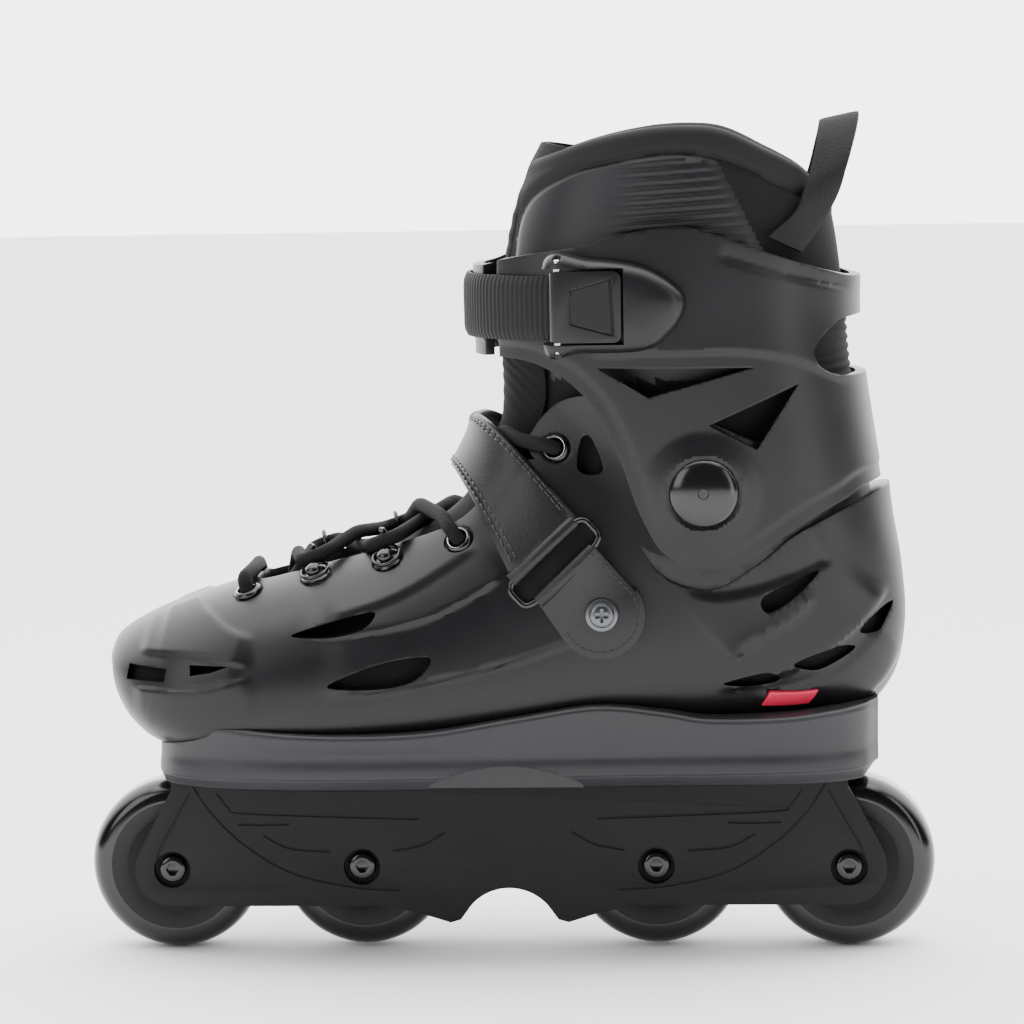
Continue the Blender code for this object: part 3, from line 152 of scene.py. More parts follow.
# A rubber-faced panel has no grain that shows, only a soft sheen.
panel = textured(finish("Rubberised panel", "#101013", 0.45, Specular_IOR_Level=0.3),
                 "#0d0d10", "#141418", 0.38, 0.5, 0.5, 0.01)
piping = finish("Neoprene edging", "#040405", 0.7, Specular_IOR_Level=0.3)
leather = textured(finish("Coated strap leather", "#0d0d0f", 0.42, Specular_IOR_Level=0.35),
                   "#0a0a0c", "#111113", 0.34, 0.5, 1.1, 0.05, cells=True)
thread = finish("Polyester thread", "#1a1a1d", 0.4)
webbing = textured(finish("Woven webbing", "#0b0b0d", 0.8, Specular_IOR_Level=0.3),
                   "#08080a", "#101012", 0.72, 0.88, 0.9, 0.12, (1.0, 1.0, 0.45), cells=True)
braid = textured(finish("Braided lace", "#050506", 0.85, Specular_IOR_Level=0.25),
                 "#030304", "#0a0a0b", 0.78, 0.92, 0.9, 0.1, (0.6, 1.0, 0.6), cells=True)
red_plastic = textured(finish("Red nylon insert", "#cf2448", 0.42),
                       "#c91f43", "#d52b4f", 0.38, 0.46, 0.6, 0.01)
print("materials:", len(bpy.data.materials))

# %% [markdown]
# ## Camera, floor and light
# Camera and light come first, because everything after is judged through them. A long lens stands
# well back, so that the near and far wheels look the same size.

# %% Camera
AZIMUTH, ELEVATION, ROLL = math.radians(3.65), math.radians(6.625), math.radians(-0.977)
AIM, DISTANCE, FOCAL_LENGTH = Vector((1.96, 0.0, 151.87)) * MM, 1.3185, 133.6
back = Vector((math.sin(AZIMUTH) * math.cos(ELEVATION), -math.cos(AZIMUTH) * math.cos(ELEVATION),
               math.sin(ELEVATION)))
level = Vector((math.cos(AZIMUTH), math.sin(AZIMUTH), 0.0))
upright = back.cross(level)
right = level * math.cos(ROLL) + upright * math.sin(ROLL)
up = upright * math.cos(ROLL) - level * math.sin(ROLL)
camera = in_scene("camera", bpy.data.cameras.new("camera"))
camera.data.lens = FOCAL_LENGTH
camera.data.clip_end = 20.0
turned_to = Matrix((right, up, back)).transposed().to_4x4()
turned_to.translation = AIM + back * DISTANCE
camera.matrix_world = turned_to
bpy.context.scene.camera = camera


# %% Floor and light
LAMPS_LOOK_AT = Vector((0.0, 0.0, 0.15))
REACH, UNDER_WHEELS = 6.0, -0.0003


def lamp(name, place, size, watts):
    """A soft box of this width and height, turned to the skate."""
    light = bpy.data.lights.new(name, "AREA")
    light.shape = "RECTANGLE"
    light.size, light.size_y = size
    light.energy = watts
    made = in_scene(name, light)
    made.location = place
    made.rotation_euler = (LAMPS_LOOK_AT - Vector(place)).to_track_quat("-Z", "Y").to_euler()


floor_mesh = bpy.data.meshes.new("floor")
floor_mesh.from_pydata([(-REACH, -REACH, 0), (REACH, -REACH, 0), (REACH, REACH, 0), (-REACH, REACH, 0)],
                       [], [(0, 1, 2, 3)])
floor_mesh.materials.append(finish("Pale floor", "#ffffff", 0.8))
floor = in_scene("floor", floor_mesh)
floor.location.z = UNDER_WHEELS

# White paper hangs behind and above and lights the edges, and the room in front is dimmer.
world = bpy.data.worlds.new("studio")
world.use_nodes = True
sky = world.node_tree
towards = add(sky, "ShaderNodeTexCoord").outputs["Generated"]
facing = add(sky, "ShaderNodeVectorMath", operation="DOT_PRODUCT")
sky.links.new(towards, facing.inputs[0])
facing.inputs[1].default_value = (0.0, 0.85, 0.75)
paper = add(sky, "ShaderNodeMapRange", {"Value": facing.outputs["Value"], "From Min": 0.08,
                                        "From Max": 0.72, "To Min": 0.12, "To Max": 5.0},
            interpolation_type="SMOOTHSTEP")
sky.nodes["Background"].inputs["Color"].default_value = linear("#ffffff")
sky.links.new(paper.outputs["Result"], sky.nodes["Background"].inputs["Strength"])
bpy.context.scene.world = world
lamp("top box", (0.0, -0.35, 1.25), (1.5, 0.8), 9.0)
lamp("left box", (-0.95, -0.95, 0.7), (0.7, 0.9), 8.0)
lamp("right box", (1.1, -0.8, 0.55), (0.35, 1.1), 4.0)

# %% [markdown]
# ## Forms
# The boot is a loft: a row of sections, each a rounded shape between a point on the instep and a
# point on the sole or heel. A smooth curve runs through the rows, so the same few numbers give a
# coarse solid or a fine one. Everything here is worked out for whole grids of points at once.


# %% The loft
def curve_value(table, at):
    """Rows of the smooth curve through the rows of table, which are one step apart."""
    table = np.asarray(table, float)
    at = np.asarray(at, float)
    last = len(table) - 1
    i = np.clip(np.floor(at).astype(int), 0, last - 1)
    f = (at - i)[..., None]
    p1, p2 = table[i], table[i + 1]
    p0 = np.where((i > 0)[..., None], table[np.maximum(i - 1, 0)], 2 * p1 - p2)
    p3 = np.where((i + 2 <= last)[..., None], table[np.minimum(i + 2, last)], 2 * p2 - p1)
    return 0.5 * (2 * p1 + (p2 - p0) * f + (2 * p0 - 5 * p1 + 4 * p2 - p3) * f * f
                  + (3 * p1 - p0 - 3 * p2 + p3) * f ** 3)


def distances(points):
    """How far along a line of points each one lies."""
    return np.concatenate([[0.0], np.cumsum(np.linalg.norm(np.diff(points, axis=0), axis=1))])


def unit(vectors):
    return vectors / np.maximum(np.linalg.norm(vectors, axis=-1, keepdims=True), 1e-12)


class Loft:
    """Sections in rows: T's x and z, B's x and z, half width, where widest, roundness above and
    below. A point is a section and a turn: 0 at T, 0.25 outer side, 0.5 at B, 0.75 inner side."""

    def __init__(self, rows):
        self.rows = np.array(rows, float)
        self.last = len(rows) - 1

    def point(self, section, turn, off=0.0, off_b=0.0):
        section, turn = np.broadcast_arrays(np.asarray(section, float), np.asarray(turn, float))
        value = curve_value(self.rows, section)
        top, bottom = value[..., 0:2], value[..., 2:4]
        half, widest, n_top, n_low = (value[..., k] for k in range(4, 8))
        length = np.linalg.norm(bottom - top, axis=-1)
        along = (bottom - top) / length[..., None]
        c, s = np.cos(2 * np.pi * turn), np.sin(2 * np.pi * turn)
        power = 2.0 / np.where(c >= 0, n_top, n_low)
        share = np.abs(c) ** power
        reach = np.where(c >= 0, widest * length - share * (widest * length + off),
                         widest * length + share * ((1 - widest) * length + off + off_b))
        side = np.abs(s) ** power * (half + off)
        flat = top + along * reach[..., None]
        return np.stack([flat[..., 0], -np.sign(s) * side, flat[..., 1]], axis=-1)

    def normal(self, section, turn):
        step = 0.02
        section, turn = np.asarray(section, float), np.asarray(turn, float)
        along = self.point(section + step, turn) - self.point(section - step, turn)
        around = self.point(section, turn + step / 4) - self.point(section, turn - step / 4)
        return unit(np.cross(around, along))

    def raised(self, section, turn, off):
        """The point this far out from the surface."""
        return self.point(section, turn) + self.normal(section, turn) * off

    def locate(self, x, z, sign):
        """The section and turn of the side that is seen at x and z."""
        sections, turns = np.meshgrid(np.arange(0, self.last + 0.01, 0.25), np.linspace(0.01, 0.49, 60),
                                      indexing="ij")
        for span_s, span_t in ((0.25, 0.008), (0.05, 0.0016), (0.01, 0.0003)):
            place = self.point(sections, turns)
            miss = (place[..., 0] - x) ** 2 + (place[..., 2] - z) ** 2
            best = np.unravel_index(np.argmin(miss), miss.shape)
            s0, t0 = sections[best], turns[best]
            sections, turns = np.meshgrid(
                np.clip(s0 + span_s * np.linspace(-1, 1, 11), 0, self.last),
                np.clip(t0 + span_t * np.linspace(-1, 1, 11), 0.002, 0.498), indexing="ij")
        return s0, (t0 if sign == OUTER else 1.0 - t0)

    def on_side(self, x, z, sign):
        section, turn = self.locate(x, z, sign)
        return Vector(self.point(section, turn)), Vector(self.normal(section, turn))

    def even_turns(self, section, shares, start=0.0, end=1.0):
        """The turns that lie at these shares of the way round one section, from start to end."""
        fine = np.linspace(start, end, 1441)
        walked = distances(self.point(section, fine))
        return np.interp(shares, walked / walked[-1], fine)


# %% The boot's rows, in millimetres
SHELL_WALL, LINER_WALL, TONGUE_THICKNESS, PADDING_GAP = 3.2, 6.0, 4.8, 1.0
CUFF_WALL, CUFF_CLEARANCE, GAP = 3.6, 1.2, 0.35
PIVOT = (69.0, 163.0)
SHELL_ROWS = (
    (-138, 107, -137.5, 98, 11, 0.50, 2, 2),
    (-135.5, 111.5, -135, 88.5, 21, 0.50, 2, 2.2),
    (-129, 116, -129, 80.5, 30.5, 0.55, 2.1, 2.5),
    (-118.5, 121, -120, 75, 38.5, 0.58, 2.1, 2.8),
    (-105, 125.5, -108, 72, 44, 0.60, 2.1, 3),
    (-86, 131.5, -88, 70.5, 47, 0.62, 2.1, 3.2),
    (-62, 138.5, -64, 70, 48.3, 0.63, 2.1, 3.2),
    (-38, 147, -38, 70, 47.5, 0.63, 2.1, 3.2),
    (-18, 159, -8, 71, 45.5, 0.62, 2.1, 3.2),
    (-7, 175, 26, 72, 43, 0.60, 2.1, 3.2),
    (-3, 189, 62, 73, 41.5, 0.56, 2.1, 3),
    (-2.8, 197, 95, 74.5, 40, 0.55, 2.1, 2.7),
    (-3.2, 204, 119, 80, 39, 0.55, 2.1, 2.4),
    (-3.7, 209, 133, 94, 38.8, 0.55, 2.1, 2.2),
    (-4.1, 213, 137.5, 113, 39.2, 0.54, 2.1, 2.1),
    (-4.3, 217, 136.5, 133, 40, 0.53, 2.1, 2.1),
    (-4.3, 220.5, 133.5, 152, 40.8, 0.52, 2.1, 2.1),
    (-4.1, 224, 131.5, 170, 41, 0.50, 2.1, 2.1),
)
HEEL_THICKENING = [0.0] * 13 + [0.5, 1.5, 4.5, 8.5, 9.5]
LEG_ROWS = [(*row, 0.50, 2.2, 2.1) for row in (
    (-0.6, 233, 120, 188, 38), (0.4, 241, 118.2, 207, 39),
    (2, 250, 116.8, 226, 39.3), (4.6, 260, 115, 243, 38.5),
    (10, 274, 112, 262, 36.5), (17, 290, 109, 286, 34.5),
)]
CUFF_ROWS = [(front, z, behind, z, half, 0.50, 2.3, 2.3) for front, z, behind, half in (
    (-6, 128, 133, 42.5), (-8, 145, 132, 44.4), (-9, 160, 130.5, 45.4),
    (-9.5, 175, 128.3, 46.2), (-10, 190, 126, 46.6), (-10, 205, 124, 46.8),
    (-10, 220, 122.5, 47), (-10, 235, 122.8, 46.8), (-9, 256, 123.5, 46),
)]


def room_rows(drop, gap):
    """The space inside the shell and up the leg, with the instep lowered by drop."""
    rows = []
    for number, (tx, tz, bx, bz, half, widest, n_top, n_low) in enumerate(SHELL_ROWS):
        along = (Vector((bx, bz)) - Vector((tx, tz))).normalized()
        top = Vector((tx, tz)) + along * (SHELL_WALL + gap + drop * min(max((number - 2) / 2.5, 0), 1))
        low = Vector((bx, bz)) - along * (SHELL_WALL + gap + HEEL_THICKENING[number])
        rows.append((*top, *low, half - SHELL_WALL - gap, widest, n_top, n_low))
    return rows + [(row[0] + gap + drop, *row[1:]) for row in LEG_ROWS]


SHELL, CUFF = Loft(SHELL_ROWS), Loft(CUFF_ROWS)
ROOM = Loft(room_rows(0.0, PADDING_GAP))
LINER = Loft(room_rows(TONGUE_THICKNESS + PADDING_GAP, PADDING_GAP))


# %% [markdown]
# ## Making meshes
# Each piece ends as a plain mesh at the origin, in metres. Cutting tries the fast solver for closed
# meshes, then the exact one. A narrow bevel on the sharp edges that it leaves catches the light as
# moulded edges do.


# %% Mesh helpers
def mesh_object(name, points, faces, material=None):
    mesh = bpy.data.meshes.new(name)
    mesh.from_pydata((np.asarray(points, float) * MM).tolist(), [], [list(map(int, f)) for f in faces])
    shape = bmesh.new()
    shape.from_mesh(mesh)
    bmesh.ops.remove_doubles(shape, verts=shape.verts, dist=2e-6)
    bmesh.ops.recalc_face_normals(shape, faces=shape.faces)
    shape.to_mesh(mesh)
    shape.free()
    if material is not None:
        mesh.materials.append(material)
    return in_scene(name, mesh)


def round_angles(count):
    return np.arange(count) * 2 * np.pi / count


def arc(centre, radius, degrees):
    """Points of a circle in side view, at these angles."""
    return [(centre[0] + radius * math.cos(a), centre[1] + radius * math.sin(a))
            for a in np.radians(degrees)]


def quads(rows, count, round_again=False):
    """The faces between rings of count points, stored one ring after another."""
    r, i = np.meshgrid(np.arange(rows if round_again else rows - 1), np.arange(count), indexing="ij")
    r, i = r.ravel(), i.ravel()
    j, n = (i + 1) % count, (r + 1) % rows
    return np.stack([r * count + i, r * count + j, n * count + j, n * count + i], 1).tolist()


def skinned(name, rings, material=None, round_again=False):
    """Rings of equal count made into a closed solid, with a fan over each end or end to end."""
    rings = np.asarray(rings, float)
    rows, count = rings.shape[:2]
    points = rings.reshape(-1, 3)
    faces = quads(rows, count, round_again)
    if not round_again:
        middles = np.array([rings[0].mean(0), rings[-1].mean(0)])
        for first, middle in ((0, len(points)), ((rows - 1) * count, len(points) + 1)):
            faces += [(first + k, first + (k + 1) % count, middle) for k in range(count)]
        points = np.concatenate([points, middles])
    return mesh_object(name, points, faces, material)


def thick_sheet(name, outer, inner, material=None):
    """A sheet with an outer and an inner grid of points, joined round its rim."""
    ring = np.concatenate([outer, inner[:, ::-1]], axis=1)
    rows, count = ring.shape[:2]
    faces = quads(rows, count)
    for first in (0, (rows - 1) * count):
        for k in range(outer.shape[1] - 1):
            faces.append((first + k, first + k + 1, first + count - 2 - k, first + count - 1 - k))
    return mesh_object(name, ring.reshape(-1, 3), faces, material)


def prism(name, outline, y_low, y_high, material=None):
    """A side-view outline of x and z, pulled across the skate."""
    count = len(outline)
    points = [(x, y, z) for y in (y_low, y_high) for x, z in outline]
    faces = [list(range(count)), [i + count for i in reversed(range(count))]]
    faces += [(i, (i + 1) % count, (i + 1) % count + count, i + count) for i in range(count)]
    return mesh_object(name, points, faces, material)


def block(name, low, high):
    corners = [(low[0], low[2]), (high[0], low[2]), (high[0], high[2]), (low[0], high[2])]
    return prism(name, corners, low[1], high[1])


def placed(points, centre, axes):
    """Local points turned by axes and moved to centre, all in millimetres."""
    turn = np.array(axes) if axes is not None else np.eye(3)
    return np.asarray(points, float) @ turn.T + np.array(centre)


def spun(name, profile, centre, axes=None, material=None, segments=64):
    """A profile of (radius, height) turned about local Z; a ring unless it touches the axis."""
    solid = profile[0][0] == 0.0 and profile[-1][0] == 0.0
    angles = round_angles(segments)
    rings = [np.stack([r * np.cos(angles), r * np.sin(angles), np.full(segments, h)], 1)
             for r, h in profile if r > 0.0 or not solid]
    return skinned(name, placed(np.array(rings), centre, axes), material, round_again=not solid)


def across(sign=1):
    """Axes that turn local Z to the inner side, or with -1 to the outer side."""
    return Matrix.Rotation(-sign * math.pi / 2, 3, "X")


def looking(direction):
    """Axes that turn local Z to this direction and keep local X lengthwise."""
    z, along = Vector(direction).normalized(), Vector((1.0, 0.0, 0.0))
    x = (along - along.dot(z) * z).normalized()
    return Matrix((x, z.cross(x), z)).transposed()


def bore(name, radius, length, centre, axes=None):
    half = length / 2
    return spun(name, ((0.0, -half), (radius, -half), (radius, half), (0.0, half)), centre, axes, None, 48)


def smooth_line(knots, steps):
    """A smooth curve through the knots, with this many steps between two of them."""
    knots = np.array([tuple(k) for k in knots], float)
    return curve_value(knots, np.linspace(0, len(knots) - 1, (len(knots) - 1) * steps + 1))


def smooth_loop(knots, steps):
    """A closed smooth outline through the knots."""
    knots = [tuple(k) for k in knots]
    wrapped = np.array(knots[-2:] + knots + knots[:3], float)
    at = np.linspace(2, 2 + len(knots), len(knots) * steps + 1)[:-1]
    return [tuple(p) for p in curve_value(wrapped, at)]


def tube(name, route, radius, material=None, sides=12, closed=False):
    """A round bar along a route, which never twists."""
    route = np.array([tuple(p) for p in route], float)
    count = len(route)
    rings, side = [], None
    for i in range(count):
        after = route[(i + 1) % count] if closed else route[min(i + 1, count - 1)]
        before = route[i - 1] if closed else route[max(i - 1, 0)]
        ahead = Vector(after - before).normalized()
        side = ahead.orthogonal() if side is None else side
        side = (side - ahead * side.dot(ahead)).normalized()
        over = ahead.cross(side)
        rings.append([Vector(route[i]) + (side * math.cos(a) + over * math.sin(a)) * radius
                      for a in round_angles(sides)])
    return skinned(name, np.array([[tuple(p) for p in r] for r in rings]), material, round_again=closed)


def evaluated_mesh(made):
    """A copy of the mesh that an object's modifiers give."""
    bpy.context.view_layer.update()
    depsgraph = bpy.context.evaluated_depsgraph_get()
    return bpy.data.meshes.new_from_object(made.evaluated_get(depsgraph))


def combine(made, others, operation="DIFFERENCE"):
    """Cuts others out of made, or joins them on, one by one, and removes them."""
    for other in others:
        before = len(made.data.vertices)
        for solver in ("MANIFOLD", "EXACT"):
            step = made.modifiers.new(other.name, "BOOLEAN")
            step.operation, step.solver, step.object = operation, solver, other
            result = evaluated_mesh(made)
            made.modifiers.clear()
            if len(result.vertices) not in (0, before):
                # Faces left by a cutter take the piece's own finish.
                skins = list(made.data.materials)
                result.materials.clear()
                for skin in skins:
                    result.materials.append(skin)
                for face in result.polygons:
                    face.material_index = min(face.material_index, max(len(skins) - 1, 0))
                made.data = result
                break
        else:
            print("no change from", other.name, "on", made.name)
        bpy.data.objects.remove(other, do_unlink=True)
    return made


def edged(made, width_mm=0.4, angle=38.0, sharp=32.0):
    """Bevels the sharp edges and shades the rest smooth."""
    if width_mm:
        step = made.modifiers.new("edge", "BEVEL")
        step.width, step.segments = width_mm * MM, 2
        step.limit_method, step.angle_limit = "ANGLE", math.radians(angle)
        step.use_clamp_overlap = True
        final = evaluated_mesh(made)
        made.modifiers.clear()
        made.data = final
    made.data.shade_smooth()
    made.data.set_sharp_from_angle(angle=math.radians(sharp))
    return made


made_pieces = []


def place_piece(made, body, slot, *nodes):
    """Puts a finished piece on its body, in place of these nodes."""
    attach(made, body)
    if nodes:
        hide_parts(*nodes)
    made_pieces.append((made.name, len(made.data.polygons)))


# %% [markdown]
# ## Creases and panels
# A moulded shell has soft steps and creases that follow lines drawn on its side. Each is a line in
# side view; a point's signed distance from it says how far the surface is raised there, and the step
# fades with distance so that it dies into the form.


# %% Relief
def signed_distance(points, line):
    """Distance of points (x, z in side view) from a line, positive on its left, and how far along."""
    flat = points[..., [0, 2]].reshape(-1, 2)
    line = np.asarray(line, float)
    a, b = line[:-1], line[1:]
    run = b - a
    t = np.clip(((flat[:, None] - a) * run).sum(-1) / (run ** 2).sum(-1), 0, 1)
    gap = flat[:, None] - (a + t[..., None] * run)
    far = np.linalg.norm(gap, axis=-1)
    nearest = far.argmin(1)
    pick = np.arange(len(flat))
    turn = run[nearest, 0] * gap[pick, nearest, 1] - run[nearest, 1] * gap[pick, nearest, 0]
    share = (nearest + t[pick, nearest]) / len(a)
    shape = points.shape[:-1]
    return (np.sign(turn) * far[pick, nearest]).reshape(shape), share.reshape(shape)


def eased(value):
    """A share from 0 to 1 with soft ends, for values from 0 to 1 and beyond."""
    value = np.clip(value, 0.0, 1.0)
    return value * value * (3 - 2 * value)


def crease(points, knots, height, width, fade):
    """A step along a line: up by height on its left, fading out with distance and at its ends."""
    away, share = signed_distance(points, smooth_line(knots, 6))
    ends = eased(share / 0.12) * eased((1 - share) / 0.12)
    return height * eased(away / width + 0.5) * np.exp(-np.maximum(away, 0) / fade) * ends


# Each crease: its line, its height and how far it fades.
SHELL_CREASES = (
    (((-61.4, 96), (-40.7, 97), (-20, 100.5), (0, 105), (20, 111.6), (34, 116)), 1.7, 16),
    (((-73, 115), (-54, 114.7), (-28, 119.3), (-10, 127.3), (3, 135.4)), 1.6, 11),
    (((-59.6, 119), (-34, 127.6), (-6.7, 143.7)), 1.2, 9),
    (((62, 129), (74, 127), (90, 130), (105, 135), (112, 139)), -1.2, 12),
    (((76, 104), (84, 110), (98, 118), (107, 127)), 1.5, 7),
    (((72, 94), (88, 97.5), (107, 105), (122, 116), (132, 128)), 1.8, 9),
    (((84, 92), (106, 96), (120, 105), (134, 122)), -1.2, 6),
    (((112, 82), (122, 88), (131, 97), (138, 108)), 1.4, 9),
    (((-84, 114), (-93, 117.0), (-101, 121.5), (-110, 126), (-118, 127)), 1.5, 14),
    (((-126, 108.5), (-104, 107.5), (-84, 105)), 1.2, 8),
    (((-84, 102), (-104, 97.5), (-128, 97)), 1.2, 9),
)

# %% [markdown]
# ## The boot shell
# The real shell is one injection moulding: a hollow boot, open along the instep, with slots that let
# it bend and breathe. A fine loft with its creases is hollowed, then every opening is cut.

# %% Boot shell
SHELL_TOP_EDGE = (
    (-14, 159), (-4, 167), (7, 177), (15, 188), (24, 194), (40, 195),
    (60, 191), (90, 178), (122, 170.5), (140, 169.5),
)
CUFF_RECESS = (
    (150, 166), (128, 160), (101, 148), (89, 139), (74, 130), (62, 130.5),
    (53, 136), (46, 147), (41, 160), (30, 180), (20, 192), (5, 199),
    (-30, 205),
)
THROAT = ((4.98, 0.022), (5.12, 0.040), (5.5, 0.046), (6, 0.052), (7, 0.068), (8, 0.092),
          (9, 0.104), (10, 0.121), (10.6, 0.132))
SHELL_VENTS = (
    ((-71, 115.3), (-57.6, 119.9), (-44, 123.2), (-42.4, 121.5), (-46.8, 117.4), (-57.8, 114.8)),
    ((-58.5, 98.7), (-45.7, 104.7), (-33.8, 107.7), (-23.6, 108.3), (-25.7, 103.2), (-32.2, 99.2),
     (-44.1, 97.6)),
    ((26.5, 170.3), (27.3, 178.7), (29, 181.4), (31.7, 180), (35.3, 170.2), (30.9, 168.2)),
    ((88.2, 126.2), (98, 131.4), (107.4, 134.8), (99, 126), (90.2, 121)),
    ((75.1, 97.2), (88.9, 100.5), (94, 98.4), (90.6, 96.4), (80.5, 96.1)),
    ((98.8, 103.2), (112.6, 108.2), (119.7, 107.8), (114.3, 103.7), (105.8, 100.4)),
    ((121.2, 113), (128, 119.8), (132.8, 122.2), (130.7, 117.1), (127.3, 112.3)),
)
TOE_SLOTS = (
    ((-128.5, 104.3), (-114.3, 103.8), (-115.1, 99.3), (-129.5, 99.1)),
    ((-105.7, 105.5), (-92.2, 105.3), (-98.5, 103.1), (-105.7, 101.9)),
)
EYELETS = {"toe": (-88.0, 127.4), "instep": (-14.0, 146.0), "ankle": (19.0, 177.0)}
HOOKS = {"front": (-64.0, 133.0), "rear": (-39.0, 138.5)}
ANCHOR_SCREW = (34.0, 122.0)
SIDES = (("lateral", OUTER), ("medial", INNER))
EYELET_BORE, EYELET_RADIUS, HOOK_SEAT_RADIUS, LACE_RADIUS = 3.1, 4.9, 5.6, 2.4


def loft_rings(loft, sections, count, off=0.0, thickening=None, relief=None):
    """Evenly spaced rings of a loft, moved out by off and by a relief along the normal."""
    turns = np.array([loft.even_turns(s, np.arange(count) / count) for s in sections])
    grid_s = np.repeat(np.asarray(sections)[:, None], count, axis=1)
    off_b = 0.0
    if thickening is not None:
        off_b = -curve_value(np.array(thickening)[:, None], grid_s)[..., 0]
    points = loft.point(grid_s, turns, off, off_b)
    if relief is not None:
        points = points + loft.normal(grid_s, turns) * relief(points)[..., None]
    return points


def shell_relief(points):
    raised = sum(crease(points, knots, height, 2.2, fade) for knots, height, fade in SHELL_CREASES)
    # The creases belong to the sides, and fade towards the middle of the toe and heel.
    return raised * eased((np.abs(points[..., 1]) - 4.0) / 12.0)


def throat_cutter():
    rows = curve_value(np.array(THROAT), np.linspace(0, len(THROAT) - 1, 73))
    share = np.linspace(-1, 1, 25)
    sections = np.repeat(rows[:, :1], 25, axis=1)
    turns = rows[:, 1:] * share
    return thick_sheet("throat", SHELL.raised(sections, turns, 12.0), SHELL.raised(sections, turns, -8.0))


def side_cutter(name, knots, tail):
    """All that lies between a smooth line in side view and the corners of its tail."""
    return prism(name, [tuple(p) for p in smooth_line(knots, 8)] + list(tail), -75.0, 75.0)


TAB_CORNERS = ((87.5, 88.9), (103.5, 88.9), (107.0, 93.8), (90.5, 93.8))


def colour_tab_sheet(name, sign, spread, outer, inner, material=None):
    """A sheet over the side between four corners, wider and higher by spread."""
    a, b, c, d = (np.array(SHELL.locate(x, z, OUTER)) for x, z in TAB_CORNERS)
    along = (0.5 + (np.linspace(0, 1, 25) - 0.5) * spread)[:, None, None]
    up = (0.5 + (np.linspace(0, 1, 9) - 0.5) * (2 * spread - 1))[None, :, None]
    where = (a * (1 - along) + b * along) * (1 - up) + (d * (1 - along) + c * along) * up
    section, turn = where[..., 0], (where[..., 1] if sign == OUTER else 1 - where[..., 1])
    faces = (SHELL.raised(section, turn, off) for off in (outer, inner))
    return thick_sheet(name, *faces, material)


def boot_shell():
    shell = skinned("shell_surface", loft_rings(SHELL, np.linspace(0, 17, 262), 240, relief=shell_relief),
                    shell_skin)
    hollow = loft_rings(SHELL, np.linspace(0.9, 17, 80), 96, -SHELL_WALL, HEEL_THICKENING)
    hollow = np.concatenate([hollow, hollow[-1:] + np.array([2.0, 0.0, 6.0])])
    core = loft_rings(CUFF, np.linspace(0, 8, 40), 96, -CUFF_WALL - CUFF_CLEARANCE)
    recess = combine(side_cutter("cuff_recess", CUFF_RECESS, [(-30.0, 300.0), (150.0, 300.0)]),
                     [skinned("cuff_core", core)])
    cutters = [skinned("hollow", hollow), throat_cutter(),
               side_cutter("top_edge", SHELL_TOP_EDGE, [(140.0, 300.0), (-16.0, 300.0)]), recess]
    cutters += [prism(f"vent_{i}", smooth_loop(v, 6), -70.0, 70.0) for i, v in enumerate(SHELL_VENTS)]
    cutters += [prism(f"toe_slot_{i}", v, -70.0, 70.0) for i, v in enumerate(TOE_SLOTS)]
    cutters.append(block("toe_tip", (-150.0, -7.0, 99.2), (-125.0, 7.0, 104.2)))
    for side, sign in SIDES:
        for place, spot in EYELETS.items():
            point, normal = SHELL.on_side(*spot, sign)
            cutters.append(bore(f"eyelet_seat_{place}_{side}", EYELET_RADIUS + 0.5, 9.0,
                                point + normal * 4.3, looking(normal)))
            cutters.append(bore(f"eyelet_hole_{place}_{side}", EYELET_BORE + 0.3, 14.0, point,
                                looking(normal)))
        for place, spot in HOOKS.items():
            point, normal = SHELL.on_side(*spot, sign)
            cutters.append(bore(f"hook_seat_{place}_{side}", HOOK_SEAT_RADIUS, 12.0, point + normal * 5.7,
                                looking(normal)))
        cutters.append(colour_tab_sheet(f"tab_pocket_{side}", sign, 1.05, 6.0, -1.5))
    return edged(combine(shell, cutters), 0.35)


place_piece(boot_shell(), "boot", "shell_plastic", "boot_shell")
for side, sign in SIDES:
    tab = edged(colour_tab_sheet(f"red_insert_{side}", sign, 1.0, 0.9, -1.2, red_plastic), 0.5)
    place_piece(tab, "boot", "red_plastic", f"colour_tab_{side}")
print("shell:", made_pieces[0])

# %% [markdown]
# ## The sole
# The grinding sole is a second moulding, a little greyer from rubbing. Its section is a rounded lip,
# a hollow flank and a hard ridge above the chamfer that slides along a rail.

# %% Soul plate
SOUL_ROWS = (
    (-120.5, 14, 17, 17, 90), (-118, 24, 30, 29, 89),
    (-111, 32, 39.5, 38.5, 87.6), (-98, 40, 46, 45, 85.5),
    (-78, 44.5, 50, 49, 83.2), (-52, 46, 51.5, 50.3, 82.2),
    (-24, 45, 50.5, 49.5, 83.2), (5, 42.5, 48, 47, 87.4),
    (32, 40.5, 46, 45, 91), (54, 39.5, 45, 44, 88.8),
    (70, 39, 44.5, 43.5, 86.2), (95, 38, 43, 42, 86.3),
    (112, 33, 38, 37, 87.6), (122, 25, 30, 29.5, 88.6),
    (127.5, 15, 19, 19, 89.2),
)
AXLES = ((-117.3, 30.0), (-51.0, 30.8), (51.0, 30.8), (117.3, 30.0))
GRIND_ARCH = ((-30, 52), (-26, 62), (-22.5, 66), (-12, 69.4), (1, 70.8), (14, 69.2),
              (24.5, 65.8), (28, 61.5), (31, 52))


